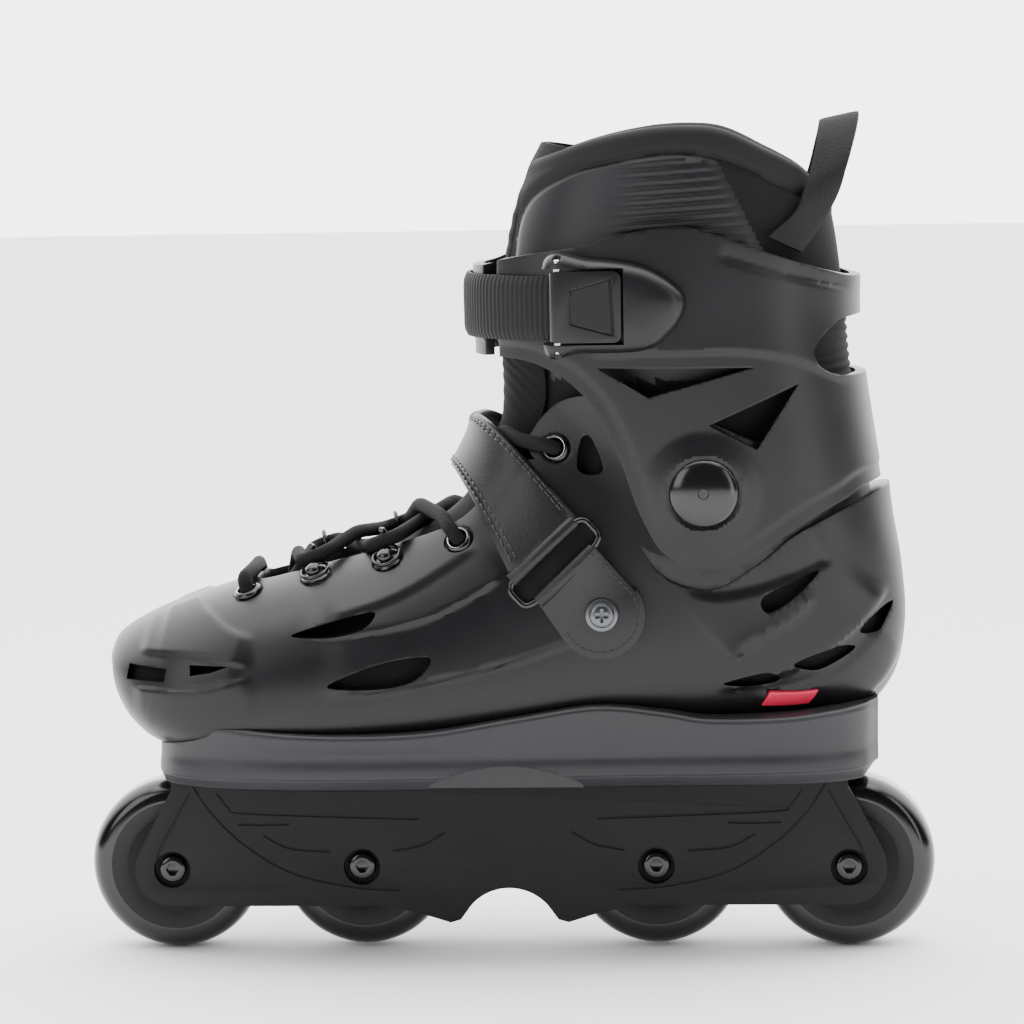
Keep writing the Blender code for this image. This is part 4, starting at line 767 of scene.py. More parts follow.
def soul_plate():
    rings = []
    rise_at = [row[0] for row in (SOUL_ROWS[0], SOUL_ROWS[1], SOUL_ROWS[-2], SOUL_ROWS[-1])]
    for x, sole, ridge, top, height in curve_value(np.array(SOUL_ROWS), np.linspace(0, 14, 150)):
        rise = np.interp(x, rise_at, (5.5, 0.0, 0.0, 5.5))
        low = 62.4 + rise
        ridge_z = 67.2 + 0.3 * rise
        knots = ((0, low), (sole * 0.5, low), (sole - 2, low), (sole - 0.2, low + 0.5),
                 (ridge - 0.7, ridge_z - 0.9), (ridge, ridge_z), (ridge - 0.7, ridge_z + 1.1),
                 (ridge - 2.6, ridge_z + 4.2), (ridge - 2.9, ridge_z + 7.5), (top - 0.6, height - 4.5),
                 (top, height - 1.8), (top - 1.0, height - 0.3), (top - 3.0, height),
                 (top * 0.5, height), (0, height))
        half = smooth_line(knots, 4)
        outer = np.stack([np.full(len(half), x), -half[:, 0], half[:, 1]], 1)
        inner = outer[-2:0:-1] * (1, -1, 1)
        rings.append(np.concatenate([outer, inner]))
    plate = skinned("grinding_sole", np.array(rings), sole_skin)
    cutters = [skinned("boot_room", loft_rings(SHELL, np.linspace(0, 17, 90), 96, 0.5))]
    cutters += [block(f"well_{i}", (x - 14, -13.2, 50.0), (x + 14, 13.2, 64.6))
                for i, (x, _) in enumerate(AXLES)]
    for side, sign in SIDES:
        low, high = sorted((sign * 40.0, sign * 60.0))
        cutters.append(prism(f"arch_{side}", [tuple(p) for p in smooth_line(GRIND_ARCH, 6)], low, high))
    return edged(combine(plate, cutters), 0.5)


place_piece(soul_plate(), "boot", "sole_plastic", "soul_plate")

# %% [markdown]
# ## The frame
# One nylon moulding carries the wheels. Its flat sides are dead matt and engraved with a few sweeping
# lines, which are cut here as round-bottomed grooves. The lines are plain curves of this lesson's own.

# %% Frame
FRAME_HALF, CHANNEL_HALF = 19.0, 12.9
FRAME_END = ((117, 62), (117, 58), (128.8, 36))
FRAME_FOOT = ((43, 17), (30, 14), (20.5, 11), (17, 12))
ARCH_Z, ARCH_RADIUS, CORNER_RADIUS = 5.5, 17.6, 13.0
GROOVES = (
    ((-110, 61), (-103, 50), (-92, 39), (-76, 29), (-56, 24), (-38, 22.5)),
    ((-101, 57), (-97, 52), (-93, 50), (-60, 48.6), (-31, 47.6)),
    ((-94, 46), (-84, 45.8), (-76, 46)),
    ((-85, 42), (-76, 37.5), (-62, 36.2)),
    ((-40, 36.5), (-30, 38.5), (-22, 43)),
    ((-110.5, 57), (-116, 47), (-121.5, 37), (-122.6, 29)),
)


def frame_outline():
    """The rear half from top to middle, then its mirror image back to the top."""
    rear = [*FRAME_END, *arc(AXLES[3], CORNER_RADIUS, np.linspace(15, -90, 24)), *FRAME_FOOT]
    start = math.degrees(math.atan2(17.0 - ARCH_Z, 13.0))
    rear += arc((0.0, ARCH_Z), ARCH_RADIUS, np.linspace(start, 90, 18))
    return rear + [(-x, z) for x, z in reversed(rear[:-1])]


def wheel_frame():
    made = prism("wheel_frame", frame_outline(), -FRAME_HALF, FRAME_HALF, frame_skin)
    room, seat, shank = CHANNEL_HALF, 6.4, 3.95
    cutters = [block("channel_front", (-140.0, -room, 0.0), (-16.5, room, 56.5)),
               block("channel_rear", (16.5, -room, 0.0), (140.0, room, 56.5))]
    stepped = ((0.0, -30.0), (seat, -30.0), (seat, -15.3), (shank, -15.3), (shank, 15.3), (seat, 15.3),
               (seat, 30.0), (0.0, 30.0))
    for i, (x, z) in enumerate(AXLES):
        cutters.append(block(f"well_{i}", (x - 19.5, -room, 50.0), (x + 19.5, room, 70.0)))
        cutters.append(spun(f"axle_hole_{i}", stepped, (x, 0.0, z), across(), None, 48))
    made = edged(combine(made, cutters), 0.6)
    grooves = []
    for number, knots in enumerate(GROOVES):
        for mirror in (1, -1):
            for side, sign in SIDES:
                route = [(mirror * x, sign * (FRAME_HALF + 0.12), z) for x, z in smooth_line(knots, 8)]
                grooves.append(tube(f"groove_{number}_{mirror}_{side}", route, 0.5, None, 8))
    return edged(combine(made, grooves), 0.0)


place_piece(wheel_frame(), "boot", "frame_plastic", "frame")

# %% [markdown]
# ## Wheels
# A grind wheel is small, hard and wide, with a flat matt face and a shoulder that shines. Its profile
# is turned about the axle, and the flat faces get the duller of two finishes.

# %% Wheels and axles
WHEEL_RADIUS, WHEEL_HALF, HUB_RADIUS = 30.0, 11.6, 16.8
FLAT_RADIUS, SHOULDER_RADIUS, TREAD_HALF = 22.4, 23.2, 3.4


def tyre(number, x, z):
    """A flat side, then a shoulder that curves over to the tread."""
    w, inner, deep = WHEEL_HALF, HUB_RADIUS + 0.05, WHEEL_RADIUS - SHOULDER_RADIUS
    half = [(inner, w - 1.2), (FLAT_RADIUS, w), (SHOULDER_RADIUS, w - 0.1)]
    for angle in np.linspace(math.radians(78), 0.0, 12):
        half.append((SHOULDER_RADIUS + deep * math.cos(angle) ** 0.9,
                     TREAD_HALF + (w - TREAD_HALF - 0.1) * math.sin(angle)))
    profile = [(r, -y) for r, y in half] + [(WHEEL_RADIUS, 0.0)] + [(r, y) for r, y in reversed(half)]
    made = spun(f"tyre_surface_{number}", profile, (x, 0.0, z), across(), wheel_skin, 96)
    made.data.materials.append(wheel_face)
    for face in made.data.polygons:
        out = math.hypot(face.center.x / MM - x, face.center.z / MM - z)
        face.material_index = int(out < FLAT_RADIUS + 0.2)
    return edged(made, 0.0)


def wheel_core(number, x, z):
    """The nylon core that the tyre is cast on, with a seat for a bearing in each side."""
    w, seat, stop, through = WHEEL_HALF - 0.8, 11.35, 4.55, 8.6
    profile = ((seat, -w), (HUB_RADIUS, -w), (HUB_RADIUS, w), (seat, w), (seat, stop), (through, stop),
               (through, -stop), (seat, -stop))
    return edged(spun(f"wheel_core_{number}", profile, (x, 0.0, z), across(), frame_skin, 72), 0.0)


def axle_head(number, x, z):
    """An axle bolt whose round head, with its hexagon socket, faces the outer side."""
    profile = ((0.0, 17.0), (3.6, 17.0), (3.6, -15.7), (4.6, -15.7), (4.6, -17.4), (4.2, -18.1),
               (3.4, -18.5), (0.0, -18.6))
    made = spun(f"axle_bolt_{number}", profile, (x, 0.0, z), across(), dark_steel, 48)
    socket = prism("socket", arc((x, z), 2.2, range(0, 360, 60)), -22.0, -16.4)
    return edged(combine(made, [socket]), 0.2)


for number, (x, z) in enumerate(AXLES, start=1):
    place_piece(tyre(number, x, z), f"wheel_{number}", "urethane", f"tyre_{number}")
    place_piece(wheel_core(number, x, z), f"wheel_{number}", "frame_plastic", f"hub_{number}")
    place_piece(axle_head(number, x, z), "boot", "black_steel", f"axle_{number}")

# %% [markdown]
# ## The cuff
# The cuff is a C of plastic that leans about two bolts. Its lower edge has a border a little lower
# than the rest, a round boss sits at the pivot, and a waist line runs round behind the ankle.

# %% Cuff
CUFF_LOWER_EDGE = (
    (-40, 207), (2, 208), (18, 204), (29, 196), (36, 186), (42, 172),
    (45, 163), (48, 155), (54, 144), (62, 138.5), (72, 137), (81, 138.5),
    (91, 144), (103, 152), (117, 159), (126, 163.5), (150, 166),
)
CUFF_TOP_EDGE = (
    (-40, 238), (-8, 238.5), (2, 241), (13, 243), (28, 245.5), (47, 250),
    (61, 251.5), (70, 250), (84, 245), (98, 240), (112, 235.5), (122, 233),
    (150, 230),
)
CUFF_BACK_NOTCH = (
    (150, 221), (120, 220), (112, 216.5), (106.5, 210), (108, 204), (114, 200.5),
    (121, 200), (150, 199),
)
CUFF_VENTS = (((34, 205), (86, 204.5), (51, 195)),
              ((71, 185.5), (101, 198.5), (87, 177)))
CUFF_WAIST = ((30, 209), (52, 210), (72, 210), (88, 209), (103, 205), (122, 195))
# The cuff is open in front, on the outer side, between these two turns.
FLAP_GAP = (0.066, 0.094)
PIVOT_HOLE_RADIUS = 6.6


def cuff_relief(points):
    away, _ = signed_distance(points, smooth_line(CUFF_LOWER_EDGE, 6))
    border = -0.55 * (1 - eased((away - 4.4) / 1.2))
    out = np.hypot(points[..., 0] - PIVOT[0], points[..., 2] - PIVOT[1])
    boss = 0.9 * np.exp(-((out - 12.9) / 0.9) ** 2) + 1.3 * eased((21.0 - out) / 7.0)
    waist = crease(points, CUFF_WAIST, 1.1, 2.0, 18.0)
    slot = crease(points, ((74, 241.5), (93, 235.5), (120, 228.5)), -0.9, 1.6, 4.0)
    return border + boss + waist + slot


def cuff():
    sections = np.linspace(0, 8, 130)
    shares = np.linspace(0.0, 1.0, 260)
    turns = np.array([CUFF.even_turns(s, shares, FLAP_GAP[1], 1 + FLAP_GAP[0]) for s in sections])
    grid_s = np.repeat(sections[:, None], len(shares), axis=1)
    outer = CUFF.point(grid_s, turns)
    outer = outer + CUFF.normal(grid_s, turns) * cuff_relief(outer)[..., None]
    made = thick_sheet("ankle_cuff", outer, CUFF.point(grid_s, turns, -CUFF_WALL), shell_skin)
    cutters = [side_cutter("below", CUFF_LOWER_EDGE, [(150.0, 100.0), (-40.0, 100.0)]),
               side_cutter("above", CUFF_TOP_EDGE, [(150.0, 300.0), (-40.0, 300.0)]),
               side_cutter("notch", CUFF_BACK_NOTCH, [])]
    cutters += [prism(f"cuff_vent_{i}", v, -80.0, 80.0) for i, v in enumerate(CUFF_VENTS)]
    cutters.append(bore("pivot_hole", PIVOT_HOLE_RADIUS, 160.0, (PIVOT[0], 0.0, PIVOT[1]), across()))
    return edged(combine(made, cutters), 0.5)


place_piece(cuff(), "cuff", "shell_plastic", "cuff")
for side, sign in SIDES:
    # A low dome with a rounded rim and a small dimple where the mould's pin stood.
    cap = ((0.0, -9.6), (5.9, -9.6), (5.9, 0.55), (11.0, 0.55), (11.5, 0.8), (11.6, 1.3), (11.2, 1.9),
           (10.2, 2.6), (8.4, 3.4), (6.0, 4.0), (3.4, 4.4), (1.9, 4.5), (1.6, 4.1), (0.0, 4.0))
    bolt = spun(f"pivot_cap_{side}", cap, (PIVOT[0], sign * 45.6, PIVOT[1]), across(sign), dark_steel, 72)
    place_piece(edged(bolt, 0.0, sharp=50.0), "boot", "black_steel", f"cuff_bolt_{side}")

# %% [markdown]
# ## The ratchet buckle
# A domed pad holds the toothed strap in a bed. The lever turns on a steel pin and pulls the strap in,
# a tooth at a time.

# %% Buckle
BUCKLE_PIN, STRAP_TOOTH_PITCH = (21.5, -52.9, 226.0), 1.9
BUCKLE_OUTLINE = (
    (17, 210.8), (29, 210.3), (50, 211), (58.5, 216.5), (63.5, 224.5), (62, 231.5),
    (50, 239), (33, 241.6), (17, 241.2),
)


def buckle_base():
    outline = np.array(smooth_loop(BUCKLE_OUTLINE, 8))
    middle = np.array((42.0, 225.8))
    rings = []
    for y, share in ((-40.0, 1.0), (-49.0, 1.0), (-51.0, 0.985), (-52.8, 0.95), (-54.2, 0.88),
                     (-55.2, 0.77), (-55.9, 0.6), (-56.3, 0.35), (-56.4, 0.12)):
        flat = middle + (outline - middle) * share
        rings.append(np.stack([flat[:, 0], np.full(len(flat), y), flat[:, 1]], 1))
    pad = skinned("buckle_pad", np.array(rings), shell_skin)
    seat = skinned("cuff_room", loft_rings(CUFF, np.linspace(4.5, 8, 30), 160, GAP))
    bed = block("strap_bed", (0.0, -60.0, 213.4), (43.4, -30.0, 238.6))
    pin_hole = bore("pin_hole", 1.4, 60.0, BUCKLE_PIN)
    return edged(combine(pad, [seat, bed, pin_hole]), 0.45)


def buckle_lever():
    outline = [(20.5, 214.2), (40.0, 214.2), *arc((40.0, 216.8), 2.6, range(-90, 1, 15)),
               *arc((40.0, 235.2), 2.6, range(0, 91, 15)), (20.5, 237.8)]
    lever = prism("lever_plate", outline, -55.6, -53.4, shell_skin)
    knuckle = bore("knuckle", 2.6, 22.8, BUCKLE_PIN)
    lever = combine(lever, [knuckle], "UNION")
    lever = edged(combine(lever, [bore("pin_room", 1.5, 60.0, BUCKLE_PIN)]), 0.45)
    # A fine groove runs round the lever's face.
    knots = ((26.0, 231.5), (39.0, 235.2), (39.8, 216.6), (26.0, 220.4))
    frame_line = [(x, -55.75, z) for a, b in zip(knots, knots[1:] + knots[:1])
                  for x, z in ((a[0] + (b[0] - a[0]) * t, a[1] + (b[1] - a[1]) * t)
                               for t in np.linspace(0, 1, 12)[:-1])]
    return edged(combine(lever, [tube("lever_line", frame_line, 0.5, None, 8, True)]), 0.0)


def ladder_strap():
    """The toothed strap: fine ribs stand across it all the way round to the inner side."""
    outer_end, inner_end = 0.222, -0.190
    turns = outer_end + (inner_end - outer_end) * np.linspace(0, 1, 520)
    heights = np.linspace(214.2, 235.6, 12)
    sections = np.repeat((5.0 + (heights - 205.0) / 15.0)[:, None], len(turns), axis=1)
    turns = np.repeat(turns[None, :] % 1.0, len(heights), axis=0)
    middle = CUFF.point(sections, turns)
    ribs = 0.16 * np.sin(2 * np.pi * distances(middle[0]) / STRAP_TOOTH_PITCH)[None, :]
    edge = 1.0 - 0.35 * (np.abs(np.linspace(-1, 1, 12)) ** 8)[:, None]
    outer = CUFF.point(sections, turns, (3.1 + ribs) * edge)
    return edged(thick_sheet("toothed_strap", outer, CUFF.point(sections, turns, 0.8), frame_skin), 0.0)


place_piece(buckle_base(), "cuff", "shell_plastic", "buckle_base")
place_piece(buckle_lever(), "buckle_lever", "shell_plastic", "buckle_lever")
place_piece(ladder_strap(), "cuff", "strap_plastic", "ladder_strap")
pin_profile = ((0.0, -15.7), (0.9, -15.7), (1.2, -15.4), (1.2, 15.4), (0.9, 15.7), (0.0, 15.7))
pin = edged(spun("lever_pin", pin_profile, BUCKLE_PIN, None, bright_steel, 32), 0.0)
place_piece(pin, "cuff", "bright_steel", "buckle_pin")

# %% [markdown]
# ## The inner boot
# Foam between a knitted lining and a panelled face. It is one soft piece, so it is one mesh: up the
# outside, over a rolled collar edge, and down the inside. The foam's swell, the ribs and the seams are
# moves of a fine surface, which keeps the ribs sharp.

# %% Inner boot
COLLAR_TOP_EDGE = (
    (-20, 262), (6, 264), (18, 269), (35, 275.5), (51, 279.5), (65, 281),
    (78, 280), (91, 274), (104, 266.5), (114, 256), (130, 250),
)
PANEL_EDGE = ((4.5, 238), (6.5, 252), (12, 262), (24, 269), (37, 272.5), (61, 276), (82, 271), (103, 260))
RIB_PITCH = 3.1


def liner_tops(turns):
    """At each turn, the section where the liner's side meets the collar's top line."""
    edge = smooth_line(COLLAR_TOP_EDGE, 8)
    sections = np.linspace(17.0, LINER.last, 500)
    tops = []
    for turn in turns:
        line = LINER.point(sections, turn)
        over = line[:, 2] - np.interp(line[:, 0], edge[:, 0], edge[:, 1])
        crossing = int(np.argmax(over > 0)) if (over > 0).any() else len(sections) - 1
        tops.append(sections[crossing])
    # The line is smoothed round the collar, so that the rolled edge has no steps.
    tops = np.array(tops)
    for _ in range(6):
        tops = (np.roll(tops, 1) + tops + np.roll(tops, -1)) / 3
    return tops


def liner_relief(points):
    x, z, y = points[..., 0], points[..., 2], np.abs(points[..., 1])
    away, _ = signed_distance(points, smooth_line(PANEL_EDGE, 6))
    inside = eased(-away / 2.0) * eased((z - 228) / 8.0)
    ribs = 0.5 + 0.5 * np.cos(2 * np.pi * (z - 0.06 * x) / RIB_PITCH)
    ribbed = eased((x - 32.0) / 18.0) * eased((86.0 - x - (z - 250) * 0.5) / 4.0)
    back_ribs = eased((x - 100.0) / 5.0) * eased((z - 190) / 6.0) * eased((226 - z) / 6.0)
    seam = -0.9 * np.exp(-(away / 0.9) ** 2) * (z > 236)
    swell = 1.0 * eased((z - 250.0) / 12.0) * eased(away / 3.0)
    return 0.7 * ribs * (ribbed * inside + back_ribs) + seam + swell * (y > 3.0)


def inner_boot():
    count = 260
    turns = LINER.even_turns(20.0, np.arange(count) / count)
    tops = liner_tops(turns)
    lower = np.linspace(1.2, 17.0, 60)
    outer = [np.stack([np.full(count, s), turns], 1) for s in lower]
    outer += [np.stack([17.0 + (tops - 17.0) * f, turns], 1) for f in np.linspace(0, 1, 110)[1:]]
    where = np.array(outer)
    # The collar's sides come forward over the edges of the tongue.
    from_front = np.abs((where[..., 1] + 0.5) % 1.0 - 0.5)
    forward = (eased((from_front - 0.036) / 0.010) * eased((where[..., 0] - 17.4) / 1.0))[..., None]
    skin = LINER.point(where[..., 0], where[..., 1])
    skin = skin + (ROOM.point(where[..., 0], where[..., 1]) - skin) * forward
    relief = liner_relief(skin) * eased((where[..., 0] - 16.0) / 2.0)
    skin = skin + LINER.normal(where[..., 0], where[..., 1]) * relief[..., None]
    lining = LINER.point(where[..., 0], where[..., 1], -LINER_WALL)[::-1]
    # The collar rolls over in a half circle between the two faces.
    top_out, top_in = skin[-1], lining[0]
    middle, half = (top_out + top_in) / 2, (top_out - top_in) / 2
    radius = np.linalg.norm(half, axis=1, keepdims=True)
    roll = [middle + half * math.cos(a) + np.array([0, 0, 1.0]) * radius * math.sin(a)
            for a in np.linspace(0, math.pi, 12)[1:-1]]
    # The lining ends short of the toe, where the padding is thick.
    made = skinned("inner_boot", np.concatenate([skin, np.array(roll), lining[:-8]]), knit)
    made.data.materials.append(panel)
    made.data.materials.append(piping)
    centres = np.array([tuple(f.center) for f in made.data.polygons]) / MM
    away, _ = signed_distance(centres, smooth_line(PANEL_EDGE, 6))
    reach = np.interp(centres[:, 0], (4.0, 40.0), (13.0, 27.0))
    on_skin = np.abs(centres[:, 1]) > reach
    front = (centres[:, 0] < 86 - (centres[:, 2] - 250) * 0.5) & (centres[:, 2] > 200) & on_skin
    for face, a, is_front, z in zip(made.data.polygons, away, front, centres[:, 2]):
        face.material_index = 2 if a > -0.6 and z > 236 else (1 if is_front else 0)
    return edged(made, 0.0, sharp=60.0)


def boot_tongue():
    """The tongue: a long pad with rounded edges, quilted across."""
    rows, columns = 170, 40
    length = np.linspace(0, 1, rows)[:, None]
    share = np.linspace(-1, 1, columns)[None, :]
    sections = 5.1 + 17.4 * length + 0 * share
    spread = 0.092 + 0.012 * np.sin(np.pi * length) - 0.060 * eased((sections - 17.0) / 1.5)
    # Above the collar's front edge the tongue is as wide again.
    spread = spread + 0.052 * eased((sections - 21.2) / 0.5) + 0.06 * eased((sections - 21.9) / 0.3)
    turns = spread * share
    round_edge = np.sqrt(np.clip(1 - np.abs(share) ** 6, 0.05, 1.0)) * np.ones_like(length)
    tip = np.sqrt(np.clip(1 - np.clip((length - 0.93) / 0.07, 0, 1) ** 4, 0.08, 1.0))
    quilt = 0.14 * np.cos(2 * np.pi * length * 26) * eased((length - 0.25) / 0.1)
    outer, inner = ROOM.point(sections, turns), LINER.point(sections, turns, PADDING_GAP + 0.4)
    middle, half = (outer + inner) / 2, (outer - inner) / 2
    full = (round_edge * tip)[..., None]
    outer = middle + half * full + LINER.normal(sections, turns) * (quilt * round_edge)[..., None]
    inner = middle - half * full
    made = thick_sheet("padded_tongue", outer, inner, knit)
    above = [(-30.0, 279.5), (16.0, 279.5), (35.0, 276.0), (60.0, 273.0), (60.0, 330.0), (-30.0, 330.0)]
    top = prism("tongue_top", above, -60.0, 60.0)
    return edged(combine(made, [top]), 0.8, 50.0, 60.0)


def soft_piece(made, start_z, end_z, *nodes):
    """A padded piece of the boot, baked where it stands, in place of these nodes."""
    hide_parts(*nodes)
    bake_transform(made)
    made_pieces.append((made.name, len(made.data.polygons)))


soft_piece(inner_boot(), 0.172, 0.215, "liner_foot", "liner_collar")
soft_piece(boot_tongue(), 0.180, 0.225, "tongue")

# %% [markdown]
# ## Laces, eyelets and hooks
# The lace runs over the shell through every hook and eyelet, in straight runs with rounded bends.


# %% Eyelets and hooks
def hook_centre(place, sign):
    """A hook's point and normal on the shell, the way to the middle, and where its lace runs."""
    point, normal = SHELL.on_side(*HOOKS[place], sign)
    inwards = looking(normal) @ Vector((0.0, -sign, 0.0))
    return point, normal, inwards, point + normal * (LACE_RADIUS + 2.1) + inwards * 6.0


def lace_eyelet(place, side, sign):
    """A rolled ring: a dark flange with a bright worn lip."""
    point, normal = SHELL.on_side(*EYELETS[place], sign)
    profile = ((3.1, -1.6), (3.1, 1.2), (3.3, 1.6), (3.7, 1.8), (4.1, 1.6), (4.5, 1.2), (4.9, 0.8),
               (4.9, 0.35), (3.9, 0.2), (3.5, -1.6))
    made = spun(f"eyelet_ring_{place}_{side}", profile, point, looking(normal), dark_steel, 48)
    made.data.materials.append(bright_steel)
    for face in made.data.polygons:
        offset = Vector(face.center) / MM - point
        out = (offset - normal * offset.dot(normal)).length
        face.material_index = int(out < 3.5 and offset.dot(normal) > 0.2)
    return edged(made, 0.0, sharp=60.0)


def lace_guide(place, side, sign):
    """A hook: ball-headed rivet, pear-shaped wire round it, and the loop that holds the lace."""
    point, normal, inwards, centre = hook_centre(place, sign)
    ball = [(0.0, 0.35), (4.8, 0.35), (5.0, 0.9), (4.3, 1.5), (2.4, 1.8)]
    ball += [(2.9 * math.cos(a), 3.1 + 2.1 * math.sin(a)) for a in np.linspace(-0.5, math.pi / 2, 9)[:-1]]
    made = spun(f"lace_guide_{place}_{side}", ball + [(0.0, 5.2)], point, looking(normal), dark_steel, 40)
    angles = np.radians(np.linspace(-58, 160, 24))
    reach = LACE_RADIUS + 1.5
    route = [point + normal * 1.4 + inwards * 2.2]
    route += [centre + inwards * (reach * math.sin(a)) - normal * (reach * math.cos(a)) for a in angles]
    sideways = normal.cross(inwards)
    pear = [point + normal * 1.9 + inwards * (4.6 * math.cos(a) + 1.2) + sideways * (4.7 * math.sin(a))
            for a in round_angles(40)]
    loops = [tube("loop", route, 0.8, None, 10), tube("pear", pear, 0.7, None, 10, True)]
    return edged(combine(made, loops, "UNION"), 0.0, sharp=50.0)


for side, sign in SIDES:
    for place in EYELETS:
        place_piece(lace_eyelet(place, side, sign), "boot", "bright_steel", f"eyelet_{place}_{side}")
    for place in HOOKS:
        place_piece(lace_guide(place, side, sign), "boot", "black_steel", f"lace_hook_{place}_{side}")


# %% Lace
def rounded_route(knots, reach):
    """Straight runs between knots, with each corner rounded within this reach."""
    route = [knots[0]]
    for before, knot, after in zip(knots, knots[1:], knots[2:]):
        to_back, to_front = before - knot, after - knot
        near = min(reach, 0.45 * to_back.length, 0.45 * to_front.length)
        start, stop = knot + to_back.normalized() * near, knot + to_front.normalized() * near
        route += [start * (1 - t) ** 2 + knot * 2 * t * (1 - t) + stop * t * t
                  for t in np.linspace(0, 1, 6)]
    return route + [knots[-1]]


def lace_route():
    """From the inner side's ends to the outer side's, through every hook and eyelet."""
    def above(section, turn, off):
        return Vector(SHELL.raised(section, turn % 1.0, off))

    def half(sign, crossing):
        toe, toe_normal = SHELL.on_side(*EYELETS["toe"], sign)
        instep, instep_normal = SHELL.on_side(*EYELETS["instep"], -sign)
        ankle, ankle_normal = SHELL.on_side(*EYELETS["ankle"], -sign)
        front, rear = hook_centre("front", -sign)[3], hook_centre("rear", sign)[3]
        inside = SHELL_WALL + LACE_RADIUS + 1.1
        lengthwise, inwards = Vector((0.94, 0.0, 0.33)), Vector((0.0, sign, 0.0))
        return [
            above(4.93, -sign * 0.028, LACE_RADIUS + 0.6), toe + toe_normal * 5.6,
            toe - toe_normal * inside, above(5.35, -sign * 0.040, -6.4), above(5.60, 0.0, crossing),
            front - lengthwise * 4.5 + inwards * 0.6, front + lengthwise * 4.5 + inwards * 0.6,
            above(6.45, 0.0, crossing),
            rear - lengthwise * 4.5 - inwards * 0.6, rear + lengthwise * 4.5 - inwards * 0.6,
            above(7.45, 0.0, crossing), above(7.95, sign * 0.086, LACE_RADIUS + 1.2),
            instep + instep_normal * 5.6, instep - instep_normal * inside,
            ankle - ankle_normal * inside, ankle + ankle_normal * 5.6,
            above(10.55, sign * 0.112, LACE_RADIUS + 0.6), above(9.95, sign * 0.070, -0.6),
            above(9.1, sign * 0.028, -1.0),
        ]
    low = -1.5
    outer, inner = half(OUTER, low), half(INNER, low + 2 * LACE_RADIUS + 0.5)
    return rounded_route(list(reversed(inner)) + outer, 5.0)


lace_line = lace_route()
lace_length = sum((b - a).length for a, b in zip(lace_line, lace_line[1:]))
place_piece(edged(tube("boot_lace", lace_line, LACE_RADIUS, braid, 14), 0.0, sharp=60.0),
            "boot", "webbing", "lace")
print("lace length, mm:", round(lace_length, 1))

# %% [markdown]
# ## Stitches
# A row of stitches is the same short thread again and again along a line, which is what Geometry
# Nodes are for. The tree takes a curve, the pitch and the thread's size, sets a capsule at every
# step, and ends in real geometry with its material, so that it can be made a plain mesh.


# %% A stitching tree
def stitch_tree():
    tree = bpy.data.node_groups.new("Stitches", "GeometryNodeTree")
    for name, kind in (("Geometry", "NodeSocketGeometry"), ("Pitch", "NodeSocketFloat"),
                       ("Length", "NodeSocketFloat"), ("Radius", "NodeSocketFloat"),
                       ("Material", "NodeSocketMaterial")):
        tree.interface.new_socket(name, in_out="INPUT", socket_type=kind)
    tree.interface.new_socket("Geometry", in_out="OUTPUT", socket_type="NodeSocketGeometry")
    given = add(tree, "NodeGroupInput").outputs
    points = add(tree, "GeometryNodeCurveToPoints", {"Curve": given["Geometry"], "Length": given["Pitch"]},
                 mode="LENGTH")
    strand = add(tree, "GeometryNodeMeshCylinder", {"Vertices": 6, "Radius": given["Radius"],
                                                    "Depth": given["Length"]})
    aligned = add(tree, "FunctionNodeAlignEulerToVector",
                  {"Vector": points.outputs["Tangent"]}, axis="Z")
    copies = add(tree, "GeometryNodeInstanceOnPoints",
                 {"Points": points.outputs["Points"], "Instance": strand.outputs["Mesh"],
                  "Rotation": aligned.outputs["Rotation"]})
    real = add(tree, "GeometryNodeRealizeInstances", {"Geometry": copies.outputs["Instances"]})
    dressed = add(tree, "GeometryNodeSetMaterial",
                  {"Geometry": real.outputs["Geometry"], "Material": given["Material"]})
    out = add(tree, "NodeGroupOutput")
    tree.links.new(dressed.outputs["Geometry"], out.inputs["Geometry"])
    return tree


STITCHES = stitch_tree()


def stitched(name, lines, body, slot, pitch=3.0, length=2.2, radius=0.34):
    """Stitches along lines of millimetre points, as one plain mesh on one body."""
    curve = bpy.data.curves.new(name, "CURVE")
    curve.dimensions = "3D"
    for line in lines:
        spline = curve.splines.new("POLY")
        spline.points.add(len(line) - 1)
        for point, where in zip(spline.points, line):
            point.co = (*(Vector(where) * MM), 1.0)
    guide = in_scene(f"{name}_guide", curve)
    step = guide.modifiers.new("stitches", "NODES")
    step.node_group = STITCHES
    sockets = {i.name: i.identifier for i in STITCHES.interface.items_tree if i.in_out == "INPUT"}
    for socket, value in (("Pitch", pitch * MM), ("Length", length * MM), ("Radius", radius * MM),
                          ("Material", thread)):
        step[sockets[socket]] = value
    mesh = evaluated_mesh(guide)
    bpy.data.objects.remove(guide, do_unlink=True)
    mesh.shade_smooth()
    print(name, "faces:", len(mesh.polygons))
    place_piece(in_scene(name, mesh), body, slot)


# %% [markdown]
# ## The instep strap
# A strap of coated leather over the instep, folded round an oval ring and held by a screwed tab. Its
# edges are pressed thin, and two rows of stitching run inside each.

# %% Instep strap, ring and anchor
STRAP_THICKNESS, STRAP_LIFT, CROWN_LIFT = 3.0, 1.3, 3.9
RING_CENTRE = Vector((18.7, -43.5, 139.6))
RING_ALONG = Vector((0.73, 0.085, 0.68)).normalized()
RING_UP = Vector((-0.68, 0.10, 0.73)).normalized()
RING_HALF_LENGTH, RING_HALF_WIDTH, RING_WIRE = 17.6, 5.6, 1.2
CROWN = np.array(((8.35, 0.0), (9.65, 0.0)))
TO_RING = np.array((SHELL.locate(4.2, 134.0, OUTER), SHELL.locate(26.4, 154.0, OUTER)))
TO_SCREW = np.array((SHELL.locate(26.0, 108.5, OUTER), SHELL.locate(48.0, 129.0, OUTER)))


